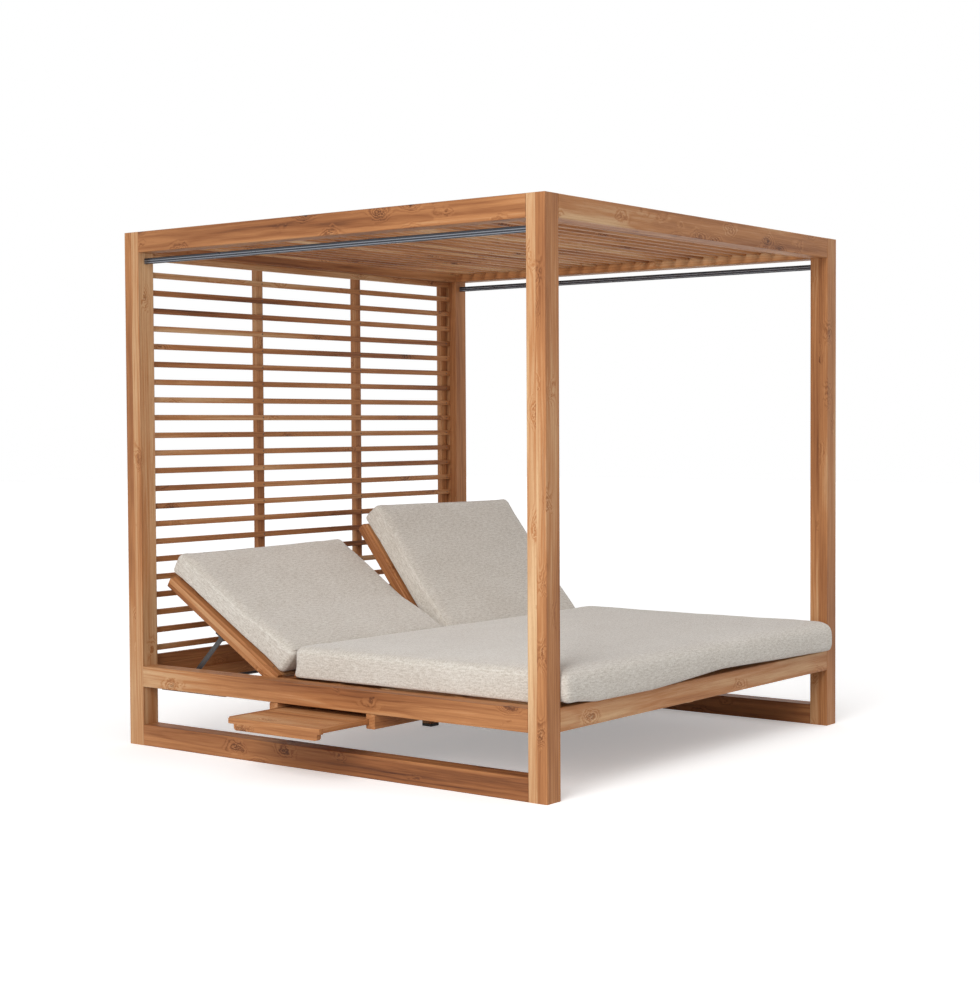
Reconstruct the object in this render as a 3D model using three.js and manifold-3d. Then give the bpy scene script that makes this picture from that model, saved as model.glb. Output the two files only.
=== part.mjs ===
// Outdoor daybed: a wooden post-and-rail frame with a slatted canopy and head screen,
// a mattress, two tilting backrests on folding steel props, and a sliding tray at each side.
// Millimetres, +Z up. The head is at +Y, the foot at -Y, and left is -X seen from the foot.
import * as THREE from 'three';
import { mergeVertices } from 'three/addons/utils/BufferGeometryUtils.js';
import Module from 'manifold-3d';

const wasm = await Module();
wasm.setup();

// Driving dimensions of the frame
const frameWidth = 2050;
const frameDepth = 2020;
const frameHeight = 2000;
const postSize = 78;
const railHeight = 80;
const floorRailHeight = 82;
const seatRailTop = 310;
const headRailThickness = 43;
const fitGap = 0.3;
const edgeRadius = 3;
const cutOverrun = 2;

// Seat structure
const crossRailThickness = 40;
const beamThickness = 40;
const beamHeight = 50;
const beamTop = 256;
const joistThickness = 40;
const legSize = 50;
const legFootHeight = 12;
const legSetback = 61;
const ledgeThickness = 26;
const ledgeHeight = 50;
const deckSlatWidth = 88;
const deckSlatThickness = 12;
const deckSlatCount = 8;
const deckSideGap = 2;
const deckFootSetback = 7;
const deckHeadSetback = 28;

// Head screen and canopy
const screenSlatHeight = 22;
const screenSlatThickness = 15.4;
const screenSlatPitch = 70;
const screenFirstSlat = 61;
const screenTopSpace = 60;
const screenBoardHeight = 35;
const battenWidth = 38;
const battenSideInset = 27;
const battenPlaceShares = [-1, -0.336, 0.336, 1];
const halvingDepth = 2;
const canopyPanelCount = 3;
const canopySlatsPerPanel = 9;
const canopySlatWidth = 22;
const canopySlatHeight = 22;
const canopyBattenHeight = 25;
const canopyTopDrop = 3;
const canopySideInset = 19.5;
const panelGap = 2;

// Curtain tracks
const trackWidth = 18;
const trackHeight = 22;
const trackFlangeHeight = 7;
const trackWebWidth = 4;
const trackDrop = 21;
const trackPlateWidth = 24;
const trackPlateThickness = 3;

// Backrests and their hinge
const backLength = 665;
const pivotSetback = 38;
const pivotDrop = 20;
const tipGap = 2.6;
const stileWidth = 50;
const stileThickness = 40;
const stileOverhang = 24;
const stileSideGap = 2;
const stileCentreGap = 6;
const lowerRailStart = 24;
const lowerRailWidth = 50;
const upperRailWidth = 60;
const backSlatWidth = 88;
const backSlatThickness = 12;
const backSlatCount = 8;
const backSlatInset = 5;
const backSlatTipGap = 10;
const pinRadius = 6;
const boreClearance = 0.3;
const pinDepthInRail = 30;
const pinDepthInStile = 40;
const centrePinReach = 44;
const bracketPlateThickness = 4;
const bracketFlangeHalfWidth = 22;
const bracketWebThickness = 8;
const bracketWebReach = 16;
const bracketHeight = 44;
const bracketDrop = 6;

// Props and the racks they stand on
const propPivotBeforeMiddle = 2.5;
const footBeforeLedge = 46;
const propPivotBelow = 32;
const propBarWidth = 20;
const propBarThickness = 5;
const propInset = 25;
const propBarRadius = 6;
const earThickness = 5;
const earGap = 0.8;
const earRadius = 12;
const earFootWidth = 45;
const earPlateThickness = 4;
const earPlateSideGap = 2;
const studRadius = 5;
const studReach = 2.5;
const rackTop = 233.6;
const rackBottom = 212;
const rackLead = 41;
const rackEndGap = 31;
const outerRackWidth = 31.7;
const innerRackWidth = 23.7;
const notchPitch = 35;
const notchDepth = 5;
const seatBlockLength = 17;
const seatBlockShort = 1;

// Trays and their runners
const runnerBeforeCrossRail = 15;
const trayWidth = 450;
const trayLength = 430;
const trayThickness = 19;
const trayDrop = 19;
const trayFrontThickness = 22;
const trayFrontWidth = 464;
const trayFrontHeight = 21;
const trayLipWidth = 382;
const trayLipHeight = 22;
const trayLipRadius = 12;
const traySlatCount = 5;
const traySlatGap = 3;
const trayBattenWidth = 20;
const trayPulledOut = 237.7;
const runnerThickness = 40;
const runnerHeight = 52.7;
const runnerLength = 445;
const grooveDepth = 12;
const grooveSideGap = 3;
const grooveTopGap = 1;

// Mattress and back cushions
const mattressOverhang = 20;
const mattressThickness = 108;
const mattressCrown = 8;
const mattressSideGap = 3;
const mattressHeadGap = 36;
const mattressCorner = 45;
const backCushionThickness = 84;
const backCushionCrown = 14;
const backCushionSideGap = 12;
const backCushionCentreGap = 18;
const backCushionFoot = 10;
const backCushionTipGap = 7;
const backCushionCorner = 30;
const sideDrawIn = 5;
const edgeDrawIn = 6;

// Rest positions: the tilt of each backrest and the lean of its prop, in degrees, and how far
// its tray is out
const restPositions = {
  left: { side: -1, tilt: 31.5, lean: 44.7, trayOut: trayPulledOut },
  right: { side: 1, tilt: 52.2, lean: 73.9, trayOut: 0 },
};

// Places that follow from the driving dimensions
const halfWidth = frameWidth / 2;
const halfDepth = frameDepth / 2;
const innerX = halfWidth - postSize;
const innerY = halfDepth - postSize;
const seatRailBottom = seatRailTop - railHeight;
const topRailBottom = frameHeight - railHeight;
const headRailFront = halfDepth - headRailThickness;
const beamHalf = beamThickness / 2;
const ledgeFront = headRailFront - ledgeThickness;
const screenFront = headRailFront + 2 * fitGap;
const pivotY = screenFront - tipGap - backLength;
const pivotZ = seatRailTop - pivotDrop;
const crossRailBack = pivotY - pivotSetback;
const crossRailFront = crossRailBack - crossRailThickness;
const propPivotAlong = backLength / 2 - propPivotBeforeMiddle;
const propLength = ledgeFront - footBeforeLedge - pivotY - propPivotAlong;
const stileHalf = stileThickness / 2;
const stileOuterFace = innerX - stileSideGap;
const stileInnerFace = stileCentreGap;
const boreRadius = pinRadius + boreClearance;
const deckBottom = seatRailTop + fitGap;
const deckTop = deckBottom + deckSlatThickness;
const trayTop = seatRailBottom - trayDrop;
const trayBottom = trayTop - trayThickness;
const runnerTop = seatRailBottom - fitGap;
const runnerInner = trayWidth / 2 - grooveDepth + grooveSideGap;
const trayCentre = crossRailFront - runnerBeforeCrossRail - runnerInner;

// Materials
const teak = new THREE.MeshStandardMaterial({ color: 0xb8834f, roughness: 0.55, metalness: 0 });
const fabric = new THREE.MeshStandardMaterial({ color: 0xd2cabf, roughness: 0.95, metalness: 0 });
const greySteel = new THREE.MeshStandardMaterial({ color: 0x6e6969, roughness: 0.45, metalness: 0.8 });
const aluminium = new THREE.MeshStandardMaterial({ color: 0xb4b6b8, roughness: 0.35, metalness: 0.9 });
const blackPlastic = new THREE.MeshStandardMaterial({ color: 0x1c1b1a, roughness: 0.6, metalness: 0 });

// Steps of the round stretches
const edgeSteps = 1;
const endSteps = 3;
const pinSteps = 6;

const xDirection = new THREE.Vector3(1, 0, 0);
const yDirection = new THREE.Vector3(0, 1, 0);
const zDirection = new THREE.Vector3(0, 0, 1);
const basisAlong = {
  x: new THREE.Matrix4().makeBasis(yDirection, zDirection, xDirection),
  y: new THREE.Matrix4().makeBasis(zDirection, xDirection, yDirection),
  z: new THREE.Matrix4(),
};

// A prism of an outline along an axis. The outline's two coordinates are the next two axes
// in the order x, y, z, x, y.
function prism(outline, axis, [from, to], steps = edgeSteps) {
  const geometry = new THREE.ExtrudeGeometry(outline, {
    depth: to - from,
    bevelEnabled: false,
    curveSegments: steps,
  });
  geometry.translate(0, 0, from);
  return geometry.applyMatrix4(basisAlong[axis]);
}

// A rectangle with rounded corners
function roundedRectangle([left, right], [low, high], radius) {
  const quarter = Math.PI / 2;
  const outline = new THREE.Shape();
  outline.absarc(right - radius, low + radius, radius, -quarter, 0);
  outline.absarc(right - radius, high - radius, radius, 0, quarter);
  outline.absarc(left + radius, high - radius, radius, quarter, Math.PI);
  outline.absarc(left + radius, low + radius, radius, Math.PI, Math.PI + quarter);
  return outline;
}

// A straight piece of timber with eased edges along its length
function timber(axis, xRange, yRange, zRange) {
  const ranges = { x: xRange, y: yRange, z: zRange };
  const [across, up] = { x: ['y', 'z'], y: ['z', 'x'], z: ['x', 'y'] }[axis];
  return prism(roundedRectangle(ranges[across], ranges[up], edgeRadius), axis, ranges[axis]);
}

function block([x0, x1], [y0, y1], [z0, z1]) {
  const geometry = new THREE.BoxGeometry(x1 - x0, y1 - y0, z1 - z0);
  return geometry.translate((x0 + x1) / 2, (y0 + y1) / 2, (z0 + z1) / 2);
}

// A round bar along X through the point (y, z)
function roundBar([from, to], y, z, radius) {
  const outline = new THREE.Shape().absarc(y, z, radius, 0, Math.PI * 2);
  return prism(outline, 'x', [from, to], pinSteps);
}

// Joins and cuts on closed geometries
function solid(geometry) {
  const bare = geometry.clone();
  bare.deleteAttribute('normal');
  bare.deleteAttribute('uv');
  const merged = mergeVertices(bare);
  return new wasm.Manifold(new wasm.Mesh({
    numProp: 3,
    vertProperties: new Float32Array(merged.attributes.position.array),
    triVerts: new Uint32Array(merged.index.array),
  }));
}

function geometryOf(body) {
  const { vertProperties, triVerts } = body.getMesh();
  const geometry = new THREE.BufferGeometry();
  geometry.setAttribute('position', new THREE.BufferAttribute(vertProperties, 3));
  geometry.setIndex(new THREE.BufferAttribute(triVerts, 1));
  geometry.computeVertexNormals();
  return geometry;
}

function join(...geometries) {
  return geometryOf(geometries.map(solid).reduce((whole, piece) => whole.add(piece)));
}

function cut(geometry, ...tools) {
  return geometryOf(tools.map(solid).reduce((whole, tool) => whole.subtract(tool), solid(geometry)));
}

// A node stands at its own middle, so that its position is its place in the group
function addNode(group, name, material, geometry) {
  geometry.computeBoundingBox();
  const middle = geometry.boundingBox.getCenter(new THREE.Vector3());
  geometry.translate(-middle.x, -middle.y, -middle.z);
  const node = new THREE.Mesh(geometry, material);
  node.name = name;
  node.position.copy(middle);
  group.add(node);
}

// The range from one distance to another on one side of the middle plane
function onSide(side, near, far) {
  return side < 0 ? [-far, -near] : [near, far];
}

function aboutMiddle(middle, width) {
  return [middle - width / 2, middle + width / 2];
}

// Middles of equal pieces spread so that the outer ones end at the range's ends
function spreadMiddles([from, to], width, count) {
  const pitch = (to - from - width) / (count - 1);
  return Array.from({ length: count }, (_, index) => from + width / 2 + index * pitch);
}

const daybed = new THREE.Group();
const betweenPostsX = [-innerX + fitGap, innerX - fitGap];
const betweenPostsY = [-innerY + fitGap, innerY - fitGap];

// Posts
function addPosts() {
  for (const [end, sign] of [['foot', -1], ['head', 1]]) {
    for (const [sideName, { side }] of Object.entries(restPositions)) {
      const xRange = onSide(side, innerX, halfWidth);
      const yRange = onSide(sign, innerY, halfDepth);
      addNode(daybed, `post_${end}_${sideName}`, teak, timber('z', xRange, yRange, [0, frameHeight]));
    }
  }
}

// Rails between the posts: the canopy ring, the seat ring and the two floor rails
function addRails() {
  const topRange = [topRailBottom, frameHeight];
  const seatRange = [seatRailBottom, seatRailTop];
  for (const [end, sign] of [['foot', -1], ['head', 1]]) {
    const yRange = onSide(sign, innerY, halfDepth);
    addNode(daybed, `top_rail_${end}`, teak, timber('x', betweenPostsX, yRange, topRange));
  }
  addNode(daybed, 'seat_rail_foot', teak,
    timber('x', betweenPostsX, [-halfDepth, -innerY], seatRange));
  addNode(daybed, 'seat_rail_head', teak,
    timber('x', betweenPostsX, [headRailFront, halfDepth], seatRange));
  for (const [sideName, { side }] of Object.entries(restPositions)) {
    const xRange = onSide(side, innerX, halfWidth);
    addNode(daybed, `top_rail_${sideName}`, teak, timber('y', xRange, betweenPostsY, topRange));
    addNode(daybed, `floor_rail_${sideName}`, teak,
      timber('y', xRange, betweenPostsY, [0, floorRailHeight]));
    const boreRange = onSide(side, innerX - cutOverrun, innerX + pinDepthInRail + fitGap);
    addNode(daybed, `seat_rail_${sideName}`, teak,
      cut(timber('y', xRange, betweenPostsY, seatRange),
        roundBar(boreRange, pivotY, pivotZ, boreRadius)));
  }
}

// Cross rail behind the seat, centre beams on a leg, and the ledge under the backrests' tips
function addSeatStructure() {
  addNode(daybed, 'seat_cross_rail', teak,
    timber('x', betweenPostsX, [crossRailFront, crossRailBack], [seatRailBottom, seatRailTop]));
  const beamX = [-beamHalf, beamHalf];
  const beamZ = [beamTop - beamHeight, beamTop];
  addNode(daybed, 'centre_beam_front', teak,
    timber('y', beamX, [-innerY + fitGap, crossRailFront - fitGap], beamZ));
  addNode(daybed, 'centre_beam_back', teak,
    timber('y', beamX, [crossRailBack + fitGap, ledgeFront - fitGap], beamZ));
  const legX = aboutMiddle(0, legSize);
  const legY = aboutMiddle(crossRailBack + legSetback, legSize);
  addNode(daybed, 'centre_leg', teak,
    timber('z', legX, legY, [legFootHeight + fitGap, beamTop - beamHeight - fitGap]));
  addNode(daybed, 'centre_leg_foot', blackPlastic, timber('z', legX, legY, [0, legFootHeight]));
  const ledgeTop = pivotZ - stileHalf - fitGap;
  addNode(daybed, 'head_ledge', teak,
    timber('x', betweenPostsX, [ledgeFront, headRailFront - fitGap], [ledgeTop - ledgeHeight, ledgeTop]));
}

// Seat decks: slats along the bed on joists between the side rail and the centre beam
function addDecks() {
  const runnerJoist = trayCentre - runnerInner - runnerThickness / 2;
  const footJoist = -innerY + fitGap + joistThickness / 2;
  const headJoist = (runnerJoist + crossRailFront) / 2;
  const joistMiddles = [footJoist, (footJoist + runnerJoist) / 2, runnerJoist, headJoist];
  const slatY = [deckFootSetback - halfDepth, crossRailBack - deckHeadSetback];
  for (const [sideName, { side }] of Object.entries(restPositions)) {
    const joistX = onSide(side, beamHalf + fitGap, innerX - fitGap);
    const joists = joistMiddles.map((middle) =>
      block(joistX, aboutMiddle(middle, joistThickness), [seatRailBottom, deckBottom + halvingDepth]));
    const slatSpan = onSide(side, beamHalf + fitGap, innerX - deckSideGap);
    const slats = spreadMiddles(slatSpan, deckSlatWidth, deckSlatCount).map((middle) =>
      block(aboutMiddle(middle, deckSlatWidth), slatY, [deckBottom, deckTop]));
    addNode(daybed, `seat_deck_${sideName}`, teak, join(...joists, ...slats));
  }
}

// Head screen: level slats in front of upright battens, over a board on the head rail
function addHeadScreen() {
  const slatY = [screenFront, screenFront + screenSlatThickness];
  const battenY = [slatY[1] - halvingDepth, halfDepth - fitGap];
  const slatSpace = topRailBottom - screenTopSpace - seatRailTop - screenFirstSlat;
  const slatCount = Math.floor(slatSpace / screenSlatPitch) + 1;
  const slats = Array.from({ length: slatCount }, (_, index) => {
    const middle = seatRailTop + screenFirstSlat + index * screenSlatPitch;
    return block(betweenPostsX, slatY, aboutMiddle(middle, screenSlatHeight));
  });
  const board = block(betweenPostsX, slatY, [seatRailTop + fitGap, seatRailTop + screenBoardHeight]);
  const battens = battenPlaceShares.map((share) =>
    block(aboutMiddle(share * (innerX - battenSideInset), battenWidth), battenY,
      [seatRailTop + fitGap, topRailBottom - fitGap]));
  addNode(daybed, 'head_screen', teak, join(board, ...slats, ...battens));
}

// Canopy: three panels of cross slats hanging from battens that run along the bed
function addCanopy() {
  const panelPitch = 2 * innerY / canopyPanelCount;
  const slatPitch = panelPitch / canopySlatsPerPanel;
  const battenTop = frameHeight - canopyTopDrop;
  const slatTop = battenTop - canopyBattenHeight;
  const panelNames = ['foot', 'middle', 'head'];
  for (let panel = 0; panel < canopyPanelCount; panel += 1) {
    const panelStart = -innerY + panel * panelPitch;
    const slats = Array.from({ length: canopySlatsPerPanel }, (_, index) => {
      const middle = panelStart + (index + 1 / 2) * slatPitch;
      return block(betweenPostsX, aboutMiddle(middle, canopySlatWidth),
        [slatTop - canopySlatHeight, slatTop]);
    });
    const battenY = [panelStart + panelGap / 2, panelStart + panelPitch - panelGap / 2];
    const battens = battenPlaceShares.map((share) =>
      block(aboutMiddle(share * (innerX - canopySideInset), battenWidth), battenY,
        [slatTop - halvingDepth, battenTop]));
    addNode(daybed, `canopy_panel_${panelNames[panel]}`, teak, join(...slats, ...battens));
  }
}

// Curtain tracks: an I-shaped rail below each side rail of the canopy, held by a plate on
// the post at each end
function addCurtainTracks() {
  const trackTop = topRailBottom - trackDrop;
  const trackZ = [trackTop - trackHeight, trackTop];
  for (const [sideName, { side }] of Object.entries(restPositions)) {
    const middle = side * (innerX + halfWidth) / 2;
    const trackX = aboutMiddle(middle, trackWidth);
    const recessZ = [trackZ[0] + trackFlangeHeight, trackZ[1] - trackFlangeHeight];
    const cutY = [betweenPostsY[0] - cutOverrun, betweenPostsY[1] + cutOverrun];
    const webX = aboutMiddle(middle, trackWebWidth);
    const track = cut(block(trackX, betweenPostsY, trackZ),
      block([trackX[0] - cutOverrun, webX[0]], cutY, recessZ),
      block([webX[1], trackX[1] + cutOverrun], cutY, recessZ));
    const plates = [-1, 1].map((sign) => block(
      aboutMiddle(middle, trackPlateWidth),
      onSide(sign, betweenPostsY[1] - trackPlateThickness, betweenPostsY[1]),
      [trackZ[0] - trackPlateThickness, topRailBottom - fitGap],
    ));
    addNode(daybed, `curtain_track_${sideName}`, aluminium, join(track, ...plates));
  }
}

// Hinge pins in the side rails, and the centre pin in its bracket
function addHinges() {
  for (const [sideName, { side }] of Object.entries(restPositions)) {
    const pinX = onSide(side, stileOuterFace - pinDepthInStile, innerX + pinDepthInRail);
    addNode(daybed, `hinge_pin_${sideName}`, greySteel, roundBar(pinX, pivotY, pivotZ, pinRadius));
  }
  addNode(daybed, 'hinge_pin_centre', greySteel,
    roundBar([-centrePinReach, centrePinReach], pivotY, pivotZ, pinRadius));
  const flangeY = [crossRailBack + fitGap, crossRailBack + fitGap + bracketPlateThickness];
  const bracketZ = aboutMiddle(pivotZ - bracketDrop, bracketHeight);
  const flange = block([-bracketFlangeHalfWidth, bracketFlangeHalfWidth], flangeY, bracketZ);
  const web = block(aboutMiddle(0, bracketWebThickness),
    [flangeY[0] + bracketPlateThickness / 2, pivotY + bracketWebReach], bracketZ);
  const bore = roundBar([-bracketWebThickness, bracketWebThickness], pivotY, pivotZ, boreRadius);
  addNode(daybed, 'hinge_bracket', greySteel, cut(join(flange, web), bore));
}

// Where a prop stands at rest: its angle to the backrest in radians, and its foot's place
function propAtRest(rest) {
  const tilt = THREE.MathUtils.degToRad(rest.tilt);
  const lean = THREE.MathUtils.degToRad(rest.lean);
  const pivotAlongY = propPivotAlong * Math.cos(tilt) + propPivotBelow * Math.sin(tilt);
  const pivotUpZ = propPivotAlong * Math.sin(tilt) - propPivotBelow * Math.cos(tilt);
  return {
    angle: -lean - tilt,
    footY: pivotY + pivotAlongY + propLength * Math.cos(lean),
    footZ: pivotZ + pivotUpZ - propLength * Math.sin(lean),
  };
}

// Racks: notched strips on the side rails and on the centre beam, each with one raised seat
// for its prop's foot
function addRacks() {
  const rackFrom = propAtRest(restPositions.right).footY - rackLead;
  const rackTo = ledgeFront - rackEndGap;
  const notchCount = Math.floor((rackTo - rackFrom) / notchPitch) - 1;
  for (const [sideName, rest] of Object.entries(restPositions)) {
    const { footY, footZ } = propAtRest(rest);
    const seatRange = [footY - seatBlockLength, footY - seatBlockShort];
    const seatTop = footZ - propBarWidth / 2 - fitGap;
    const isClear = (middle) => Math.abs(middle - seatRange[0]) > notchPitch / 2
      && Math.abs(middle - seatRange[1]) > notchPitch / 2;
    const notches = Array.from({ length: notchCount }, (_, index) => rackFrom + (index + 1) * notchPitch)
      .filter(isClear);
    const outline = new THREE.Shape();
    outline.moveTo(rackFrom, rackBottom);
    outline.lineTo(rackTo, rackBottom);
    outline.lineTo(rackTo, rackTop);
    const notchesAndSeat = [...notches, seatRange[1]].sort((a, b) => b - a);
    for (const place of notchesAndSeat) {
      if (place === seatRange[1]) {
        outline.lineTo(seatRange[1], rackTop);
        outline.lineTo(seatRange[1], seatTop);
        outline.lineTo(seatRange[0], seatTop);
        outline.lineTo(seatRange[0], rackTop);
      } else {
        outline.lineTo(place + notchPitch / 4, rackTop);
        outline.lineTo(place, rackTop - notchDepth);
        outline.lineTo(place - notchPitch / 4, rackTop);
      }
    }
    outline.lineTo(rackFrom, rackTop);
    const outerX = onSide(rest.side, innerX - fitGap - outerRackWidth, innerX - fitGap);
    const innerRackX = onSide(rest.side, beamHalf + fitGap, beamHalf + fitGap + innerRackWidth);
    addNode(daybed, `rack_${sideName}_outer`, teak, prism(outline, 'x', outerX));
    addNode(daybed, `rack_${sideName}_inner`, teak, prism(outline, 'x', innerRackX));
  }
}

// A backrest's group lies along Y from its pivot, with its slats towards +Z
function addBackrest(sideName, rest) {
  const { side } = rest;
  const backrest = new THREE.Group();
  backrest.position.set(0, pivotY, pivotZ);
  backrest.rotation.x = THREE.MathUtils.degToRad(rest.tilt);
  daybed.add(backrest);

  const stileY = [-stileOverhang, backLength];
  const stileZ = [-stileHalf, stileHalf];
  const outerBore = roundBar(
    onSide(side, stileOuterFace - pinDepthInStile - fitGap, stileOuterFace + cutOverrun), 0, 0, boreRadius);
  const innerBore = roundBar(
    onSide(side, stileInnerFace - cutOverrun, centrePinReach + fitGap), 0, 0, boreRadius);
  const outerStileX = onSide(side, stileOuterFace - stileWidth, stileOuterFace);
  const innerStileX = onSide(side, stileInnerFace, stileInnerFace + stileWidth);
  addNode(backrest, `back_stile_${sideName}_outer`, teak,
    cut(timber('y', outerStileX, stileY, stileZ), outerBore));
  addNode(backrest, `back_stile_${sideName}_inner`, teak,
    cut(timber('y', innerStileX, stileY, stileZ), innerBore));

  const slatZ = [stileHalf + fitGap, stileHalf + fitGap + backSlatThickness];
  const railX = onSide(side, stileInnerFace + stileWidth + fitGap, stileOuterFace - stileWidth - fitGap);
  const railZ = [-stileHalf, slatZ[0] + halvingDepth];
  const rails = [
    block(railX, [lowerRailStart, lowerRailStart + lowerRailWidth], railZ),
    block(railX, [backLength - upperRailWidth, backLength], railZ),
  ];
  const slatSpan = onSide(side, stileInnerFace + backSlatInset, stileOuterFace - backSlatInset);
  const slats = spreadMiddles(slatSpan, backSlatWidth, backSlatCount).map((middle) =>
    block(aboutMiddle(middle, backSlatWidth), [0, backLength - backSlatTipGap], slatZ));
  addNode(backrest, `back_slats_${sideName}`, teak, join(...rails, ...slats));

  const cushionX = onSide(side, backCushionCentreGap, stileOuterFace - backCushionSideGap);
  const cushionY = [-backCushionFoot, backLength - backCushionTipGap];
  const cushionZ = [slatZ[1] + fitGap, slatZ[1] + fitGap + backCushionThickness];
  addNode(backrest, `back_cushion_${sideName}`, fabric,
    cushion(cushionX, cushionY, cushionZ, backCushionCrown, backCushionCorner));

  addPropBrackets(backrest, sideName, side);
  addProp(backrest, sideName, rest);
}

// How far each prop bar and its bracket lie from the middle plane: the bar, and the side of
// it that its bracket is on
function propSides() {
  return {
    outer: { bar: stileOuterFace - propInset, away: 1, face: stileOuterFace },
    inner: { bar: stileInnerFace + propInset, away: -1, face: stileInnerFace },
  };
}

// A bracket under each stile: a screwed plate, an ear and the stud that the prop turns on
function addPropBrackets(backrest, sideName, side) {
  for (const [place, { bar, away, face }] of Object.entries(propSides())) {
    const earNear = bar + away * (propBarThickness / 2 + earGap);
    const earFar = earNear + away * earThickness;
    const plateFar = face - away * earPlateSideGap;
    const studEnd = bar - away * (propBarThickness / 2 + studReach);
    const range = (a, b) => onSide(side, Math.min(a, b), Math.max(a, b));
    const plateTop = -stileHalf - fitGap;
    const plate = block(range(earNear, plateFar), aboutMiddle(propPivotAlong, earFootWidth),
      [plateTop - earPlateThickness, plateTop]);
    const outline = new THREE.Shape();
    outline.moveTo(propPivotAlong - earFootWidth / 2, plateTop);
    outline.absarc(propPivotAlong, -propPivotBelow, earRadius, -Math.PI, 0);
    outline.lineTo(propPivotAlong + earFootWidth / 2, plateTop);
    const ear = prism(outline, 'x', range(earNear, earFar), endSteps);
    const stud = roundBar(range(studEnd, (earNear + earFar) / 2),
      propPivotAlong, -propPivotBelow, studRadius);
    addNode(backrest, `prop_bracket_${sideName}_${place}`, greySteel, join(plate, ear, stud));
  }
}

// A prop: two flat bars on the studs, joined by a round bar near the floor end
function addProp(backrest, sideName, rest) {
  const prop = new THREE.Group();
  prop.position.set(0, propPivotAlong, -propPivotBelow);
  prop.rotation.x = propAtRest(rest).angle;
  backrest.add(prop);
  const quarter = Math.PI / 2;
  const outline = new THREE.Shape();
  outline.absarc(propLength, 0, propBarWidth / 2, -quarter, quarter);
  outline.absarc(0, 0, propBarWidth / 2, quarter, quarter + Math.PI);
  const sides = propSides();
  const bars = Object.values(sides).map(({ bar }) =>
    prism(outline, 'x', aboutMiddle(rest.side * bar, propBarThickness), endSteps));
  const holes = Object.values(sides).map(({ bar }) =>
    roundBar(aboutMiddle(rest.side * bar, propBarThickness * 2), 0, 0, studRadius + boreClearance));
  const crossBarX = onSide(rest.side, sides.inner.bar, sides.outer.bar);
  const crossBar = roundBar(crossBarX, propLength, 0, propBarRadius);
  addNode(prop, `prop_${sideName}`, greySteel, cut(join(...bars, crossBar), ...holes));
}

// Tray runners under the seat, and the trays that slide in their grooves
function addTrays() {
  const grooveZ = [trayBottom - fitGap, trayTop + grooveTopGap];
  for (const [sideName, { side, trayOut }] of Object.entries(restPositions)) {
    const runnerX = onSide(side, halfWidth - runnerLength, halfWidth);
    const grooveX = [runnerX[0] - cutOverrun, runnerX[1] + cutOverrun];
    for (const [end, sign] of [['foot', -1], ['head', 1]]) {
      const runnerFace = trayCentre + sign * runnerInner;
      const across = [runnerFace, runnerFace + sign * runnerThickness].sort((a, b) => a - b);
      const groove = [runnerFace - sign * cutOverrun, runnerFace + sign * grooveDepth]
        .sort((a, b) => a - b);
      addNode(daybed, `tray_runner_${sideName}_${end}`, teak,
        cut(timber('x', runnerX, across, [runnerTop - runnerHeight, runnerTop]),
          block(grooveX, groove, grooveZ)));
    }
    addTray(sideName, side, trayOut);
  }
}

// A tray: slats across between two side battens that run in the grooves, and a front with a
// finger lip under it. Its group sits at the front's back face.
function addTray(sideName, side, trayOut) {
  const tray = new THREE.Group();
  tray.position.set(side * (halfWidth + fitGap + trayOut), trayCentre, 0);
  daybed.add(tray);
  const inward = (near, far) => onSide(-side, near, far);
  const trayZ = [trayBottom, trayTop];
  const slatWidth = (trayLength - fitGap - (traySlatCount - 1) * traySlatGap) / traySlatCount;
  const battens = [-1, 1].map((sign) =>
    block(inward(fitGap, trayLength), onSide(sign, trayWidth / 2 - trayBattenWidth, trayWidth / 2), trayZ));
  const slats = Array.from({ length: traySlatCount }, (_, index) => {
    const near = fitGap + index * (slatWidth + traySlatGap);
    const halfSpan = trayWidth / 2 - trayBattenWidth + halvingDepth;
    return block(inward(near, near + slatWidth), [-halfSpan, halfSpan], trayZ);
  });
  addNode(tray, `tray_panel_${sideName}`, teak, join(...battens, ...slats));

  const frontX = onSide(side, 0, trayFrontThickness);
  const lipBottom = trayTop - trayFrontHeight - trayLipHeight;
  const upper = block(frontX, aboutMiddle(0, trayFrontWidth), [trayTop - trayFrontHeight, trayTop]);
  const lip = prism(
    roundedRectangle(aboutMiddle(0, trayLipWidth), [lipBottom, trayTop - halvingDepth], trayLipRadius),
    'x', frontX, endSteps);
  addNode(tray, `tray_front_${sideName}`, teak, join(upper, lip));
}

// A box cushion: a rounded outline whose sides draw in between the corners, walls that draw
// in between the seams, and a crowned top
function cushion(xRange, yRange, zRange, crown, corner) {
  const half = [(xRange[1] - xRange[0]) / 2, (yRange[1] - yRange[0]) / 2];
  const middle = [(xRange[0] + xRange[1]) / 2, (yRange[0] + yRange[1]) / 2];
  const outline = cushionOutline(half, corner);
  const levels = cushionLevels(zRange, crown);
  const positions = [];
  for (const { share, inset, z } of levels) {
    for (const [x, y] of outline) {
      const reach = Math.hypot(x, y);
      const scale = share * (reach - inset) / reach;
      positions.push(middle[0] + x * scale, middle[1] + y * scale, z);
    }
  }
  const count = outline.length;
  const lowCentre = levels.length * count;
  const highCentre = lowCentre + 1;
  positions.push(middle[0], middle[1], zRange[0]);
  positions.push(middle[0], middle[1], zRange[1] + crown);
  const index = [];
  for (let place = 0; place < count; place += 1) {
    const next = (place + 1) % count;
    index.push(lowCentre, next, place);
    const top = (levels.length - 1) * count;
    index.push(highCentre, top + place, top + next);
    for (let level = 0; level < levels.length - 1; level += 1) {
      const low = level * count;
      const high = low + count;
      index.push(low + place, low + next, high + next);
      index.push(low + place, high + next, high + place);
    }
  }
  const geometry = new THREE.BufferGeometry();
  geometry.setAttribute('position', new THREE.Float32BufferAttribute(positions, 3));
  geometry.setIndex(index);
  geometry.computeVertexNormals();
  return geometry;
}

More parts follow.
